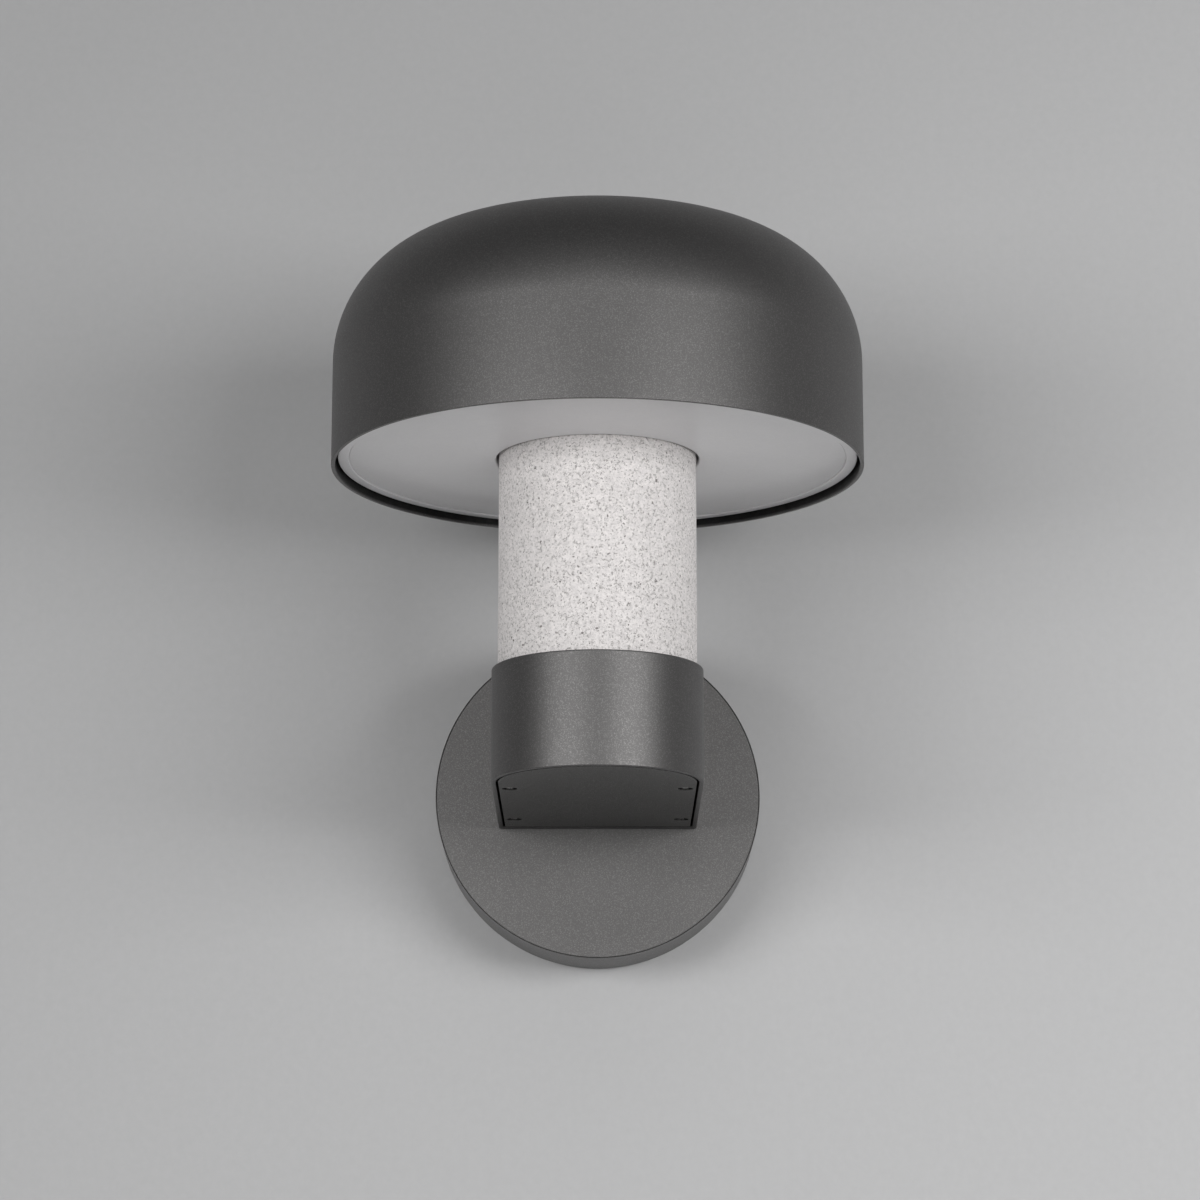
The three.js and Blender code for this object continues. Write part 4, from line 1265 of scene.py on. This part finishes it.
def make_bracket():
    low, high = corners_of("wall_bracket")
    half, wide, length = high.x, high.z, -low.y
    inside = half - bracket_thickness
    outer_bend = bracket_thickness + bend
    section = soften([
        (-half, -length, 0.3), (-half, 0.0, outer_bend), (half, 0.0, outer_bend),
        (half, -length, 0.3), (inside, -length, 0.3), (inside, -bracket_thickness, bend),
        (-inside, -bracket_thickness, bend), (-inside, -length, 0.3)], loop=True)
    strap = skinned("bracket_strap", [[((x, y, z), edge) for x, y, edge, corner in section]
                                      for z in (-wide, wide)], steel, closed=False, caps=True)
    corner = sqrt((plate_radius - plate_wall - bracket_gap) ** 2 - wide ** 2)
    for side in (-1, 1):
        for level in (-1, 1):
            slant = [(corner, wide), (corner, wide + 2), (half + 2, wide + 2),
                     (half + 2, tab_half), (half, tab_half)]
            beside = [(corner - 6, tab_half), (corner - 6, wide + 2), (half + 2, wide + 2),
                      (half + 2, tab_half)]
            for outline, end in ((slant, 1), (beside, -bracket_thickness)):
                tool = prism("trim", [(side * x, level * z) for x, z in outline],
                             -length - 1, end, steel)
                strap = carved(strap, tool)
        slot = stadium(side * wall_slot_spacing / 2, wall_slot_length, wall_slot_width)
        strap = carved(strap, prism("slot", slot, -length, 1, steel))
    side_screw, earth_screw = [middle for low, high, middle
                               in spots(["plate_screw_right", "earth_screw"], Z)]
    c = INWARD * side_screw.y
    across = ACROSS * (half + 1)
    threads = rods("threads", [(c - across, c + across, plate_screw_hole)], steel, 32)
    strap = carved(strap, threads)
    c = ACROSS * earth_screw.x
    hole = rods("earth", [(c - INWARD * 4, c + INWARD, plate_screw_hole)], steel, 32)
    return keep(carved(strap, hole), "steel", "wall_bracket")


make_bracket()


def make_terminals():
    low, high = corners_of("terminal_block")
    body = slab("terminal_housing", low, high, block_grey, 0.7)
    wells, entries = [], []
    tall = high.z - low.z
    for screw_low, screw_high, c in spots(numbered("terminal_screw", 3), Y):
        radius = (screw_high.x - screw_low.x) / 2 + screw_gap
        wells.append((c + INWARD * (low.y - 1), c + INWARD * (screw_high.y + 1.5), radius))
        foot = Vector((c.x, (low.y + high.y) / 2, low.z))
        entries.append((foot - UPWARD, foot + UPWARD * 4, wire_entry))
        if abs(c.x) > 1:
            entries.append((foot + UPWARD * (tall - 4), foot + UPWARD * (tall + 1), wire_entry))
    body = carved(body, rods("wells", wells, block_grey, 32, -1.0))
    body = carved(body, rods("entries", entries, block_grey, 32, -1.0))
    for x in (-terminal_pitch / 2, terminal_pitch / 2):
        left, right = x - terminal_groove / 2, x + terminal_groove / 2
        groove = slab("groove", (left, low.y - 1, low.z - 1), (right, low.y + 5, high.z + 1),
                      block_grey, 0)
        body = carved(body, groove)
    return keep(body, "block", "terminal_block")


make_terminals()


def make_grommet():
    low, high = corners_of("plate_grommet")
    lead_low, lead_high = corners_of("mains_lead")
    bore = (lead_high.x - lead_low.x) / 2 + screw_gap
    back, front = -high.y, -low.y
    neck = lead_hole - screw_gap
    made = turn("lead_grommet", [
        (bore, back, 0.6), (high.x, back, 0.5), (high.x, back + flange, 0.3),
        (neck, back + flange, 0.2), (neck, front, 0.4), (bore, front, 0.4)],
        rubber, (0, 0, (low.z + high.z) / 2),
        WALL_WISE, 64)
    return keep(made, "rubber", "plate_grommet")


make_grommet()


def make_supply_lead():
    """Rises out of the terminal block and turns into the arm."""
    low, high = corners_of("mains_lead")
    block_low, block_high = corners_of("terminal_block")
    start_y = (block_low.y + block_high.y) / 2
    radius = (high.x - low.x) / 2
    level = high.z - radius
    rise = level - low.z
    route = [(0, start_y, low.z), (0, start_y, low.z + 0.2 * rise),
             (0, start_y - 0.15 * rise, low.z + 0.6 * rise),
             (0, start_y - 0.55 * rise, level - 0.08 * rise),
             (0, start_y - 1.2 * rise, level), (0, (start_y + low.y) / 2 - 20, level),
             (0, low.y, level)]
    line = mesh_from("route", route, [], [(i, i + 1) for i in range(len(route) - 1)])
    maker = feed(holder("route", line), leads, Radius=radius * MM, Finish=sheath)
    return keep(settled(maker, "supply_lead"), "sheath", "mains_lead")


make_supply_lead()

# ------------------------------------------------------------------------------ screws

down, up, forward, backward = (0, 0, -1), (0, 0, 1), (0, -1, 0), (0, 1, 0)
# piece, its CAD nodes, where the heads face (None: out to the side), head radius and height,
# shank radius and length, drive radius, style, thread pitch, slot, finish, seed
screws = [
    ("cover_screws", numbered("cover_screw", 4), down,
     (1.8, 1.4, 1.25, 11, 1.0), "pan", 0.45, "steel", stainless, 3),
    ("plate_screws", ["plate_screw_left", "plate_screw_right"], None,
     (3.7, 2.2, 2.0, 6.8, 1.9), "sunk", 0.7, "steel", stainless, 4),
    ("arm_screws", numbered("arm_screw", 4), backward,
     (4.5, 4.0, 2.5, 9.5, 2.3), "cap", 0.8, "steel", steel, 5),
    ("terminal_screws", numbered("terminal_screw", 3), forward,
     (2.2, 1.5, 1.4, 6, 1.2), "pan", 0.5, "brass", brass, 6),
    ("earth_screws", ["earth_screw"], forward,
     (4.0, 2.6, 2.0, 1.8, 1.9), "pan", 0.7, "brass", brass, 7),
    ("driver_screws", numbered("driver_screw", 2), down,
     (2.7, 1.8, 1.5, 5, 1.4), "pan", 0.5, "steel", steel, 8),
    ("board_screws", numbered("board_screw", 4), down,
     (2.7, 1.8, 1.5, 4.4, 1.4), "pan", 0.5, "steel", steel, 9),
    ("diffuser_screws", numbered("diffuser_screw", 3), up,
     (2.7, 1.8, 1.5, 11, 1.4), "pan", 0.5, "steel", steel, 10),
]
for name, nodes, facing, sizes, style, pitch, slot, finish, seed in screws:
    part = screw(name + "_part", *sizes, finish, style, pitch)
    fixed(name, nodes, facing, part, slot, finish, seed)

# ------------------------------------------------------------- CAD nodes that stay as they are

kept = {
    "arm_seal": rubber, "led_driver": case_grey, "led_lead": sheath,
    "stem_foot_seal": rubber, "stem_top_seal": rubber, "clamp_tube": steel,
    "clamp_washer": steel, "clamp_nut": steel, "diffuser_outer_seal": rubber,
    "diffuser_inner_seal": rubber, "led_board": board_white, "head_plate": aluminium,
    "shade_spacer": aluminium,
}
for name, finish in kept.items():
    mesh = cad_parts[name].data
    mesh.materials.clear()
    mesh.materials.append(finish)

# ================================================================================ the scene


def stage_plane(name, points, finish):
    made = holder(name, mesh_from(name, points, [(0, 1, 2, 3)]))
    made.data.materials.append(finish)
    made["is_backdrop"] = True


def wall_paint():
    """Pale matt wall that is there only from its front, and never blocks a light."""
    plain = Finish("wall paint", Roughness=0.9)
    texture = plain.use(grain, "Value", Size=1.2, Unevenness=0.8)
    tree = plain.tree
    place = node(tree, "ShaderNodeSeparateXYZ", {"Vector": object_place(tree)})
    # Painted light falloff: the wall is painted darker towards the upper left and lighter towards
    # the lower right.
    painted_falloff = plain.sum(0.91, plain.times(place.outputs["X"], 0.28),
                      plain.times(place.outputs["Z"], -0.26))
    tone = node(tree, "ShaderNodeClamp", {"Value": painted_falloff, "Min": 0.75, "Max": 1.1})
    painted = plain.mix(texture, (0.50, 0.50, 0.503), (0.52, 0.52, 0.523))
    plain.feed(Base_Color=plain.toned(painted, tone.outputs["Result"]))
    behind = node(tree, "ShaderNodeNewGeometry").outputs["Backfacing"]
    shadow = node(tree, "ShaderNodeLightPath").outputs["Is Shadow Ray"]
    clear = node(tree, "ShaderNodeBsdfTransparent")
    either = math(tree, "MAXIMUM", behind, shadow)
    both = node(tree, "ShaderNodeMixShader", {
        0: either, 1: plain.shader.outputs["BSDF"], 2: clear.outputs["BSDF"]})
    surface = next(n for n in tree.nodes if n.type == "OUTPUT_MATERIAL").inputs["Surface"]
    tree.links.new(both.outputs["Shader"], surface)
    return plain.material


def floor_paint():
    plain = Finish("floor paint", Roughness=0.8)
    texture = plain.use(grain, "Value", Size=2.0, Unevenness=0.8)
    plain.feed(Base_Color=plain.mix(texture, (0.60, 0.60, 0.60), (0.63, 0.63, 0.63)))
    return plain.material


floor_z = -1250.0
far = 4000.0
wall_y = 0.3                       # just behind the back of the bracket
stage_plane("wall", [(-far, wall_y, floor_z), (far, wall_y, floor_z), (far, wall_y, far),
                     (-far, wall_y, far)], wall_paint())
stage_plane("floor", [(-far, -far, floor_z), (far, -far, floor_z), (far, far, floor_z),
                      (-far, far, floor_z)], floor_paint())

target = Vector((0.0, stem_y * 0.6, 60.0)) * MM


def softbox(name, azimuth, elevation, distance, width, height, power):
    """Soft light: azimuth from the front, positive to the right, distance in metres."""
    lamp = bpy.data.lights.new(name, "AREA")
    lamp.shape = "RECTANGLE"
    lamp.size, lamp.size_y = width, height
    lamp.energy = power
    made = bpy.data.objects.new(name, lamp)
    bpy.context.scene.collection.objects.link(made)
    a, e = radians(azimuth), radians(elevation)
    way = Vector((sin(a) * cos(e), -cos(a) * cos(e), sin(e)))
    made.location = target + way * distance
    made.rotation_euler = way.to_track_quat("Z", "Y").to_euler()


for name, *values in (("key", 35, -0.5, 1.9, 1.4, 0.55, 22),
                      ("fill", -32, -0.5, 1.9, 1.4, 0.55, 18),
                      ("front", 0, 22, 1.9, 0.9, 0.6, 2.5),
                      ("low", 8, -28, 1.9, 1.2, 0.5, 1.6),
                      ("back_fill", 180, 5, 2.4, 0.9, 0.9, 13)):
    softbox(name, *values)

world = bpy.data.worlds.new("studio")
bpy.context.scene.world = world
world.use_nodes = True
world.node_tree.nodes.clear()
seen = node(world.node_tree, "ShaderNodeLightPath").outputs["Is Camera Ray"]
level = node(world.node_tree, "ShaderNodeMapRange", {
    "Value": seen, "From Min": 0.0, "From Max": 1.0, "To Min": 0.03, "To Max": 0.5})
glow = node(world.node_tree, "ShaderNodeBackground", {
    "Color": (0.95, 0.97, 1.0, 1.0), "Strength": level.outputs["Result"]})
node(world.node_tree, "ShaderNodeOutputWorld", {"Surface": glow.outputs["Background"]})

lens = bpy.data.cameras.new("camera")
lens.sensor_width = 36.0
lens.lens = 105.9
lens.clip_end = 50.0
eye = bpy.data.objects.new("camera", lens)
bpy.context.scene.collection.objects.link(eye)
look_up = 12.59                    # degrees above the level
eye.location = (0.001, -1.546, -0.2494)
eye.rotation_euler = (radians(90 + look_up), 0.0, 0.0)
bpy.context.scene.camera = eye
bpy.context.scene.view_settings.view_transform = "Standard"

low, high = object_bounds()
{"cad": [list(cad_low), list(cad_high)], "visual": [list(low), list(high)]}
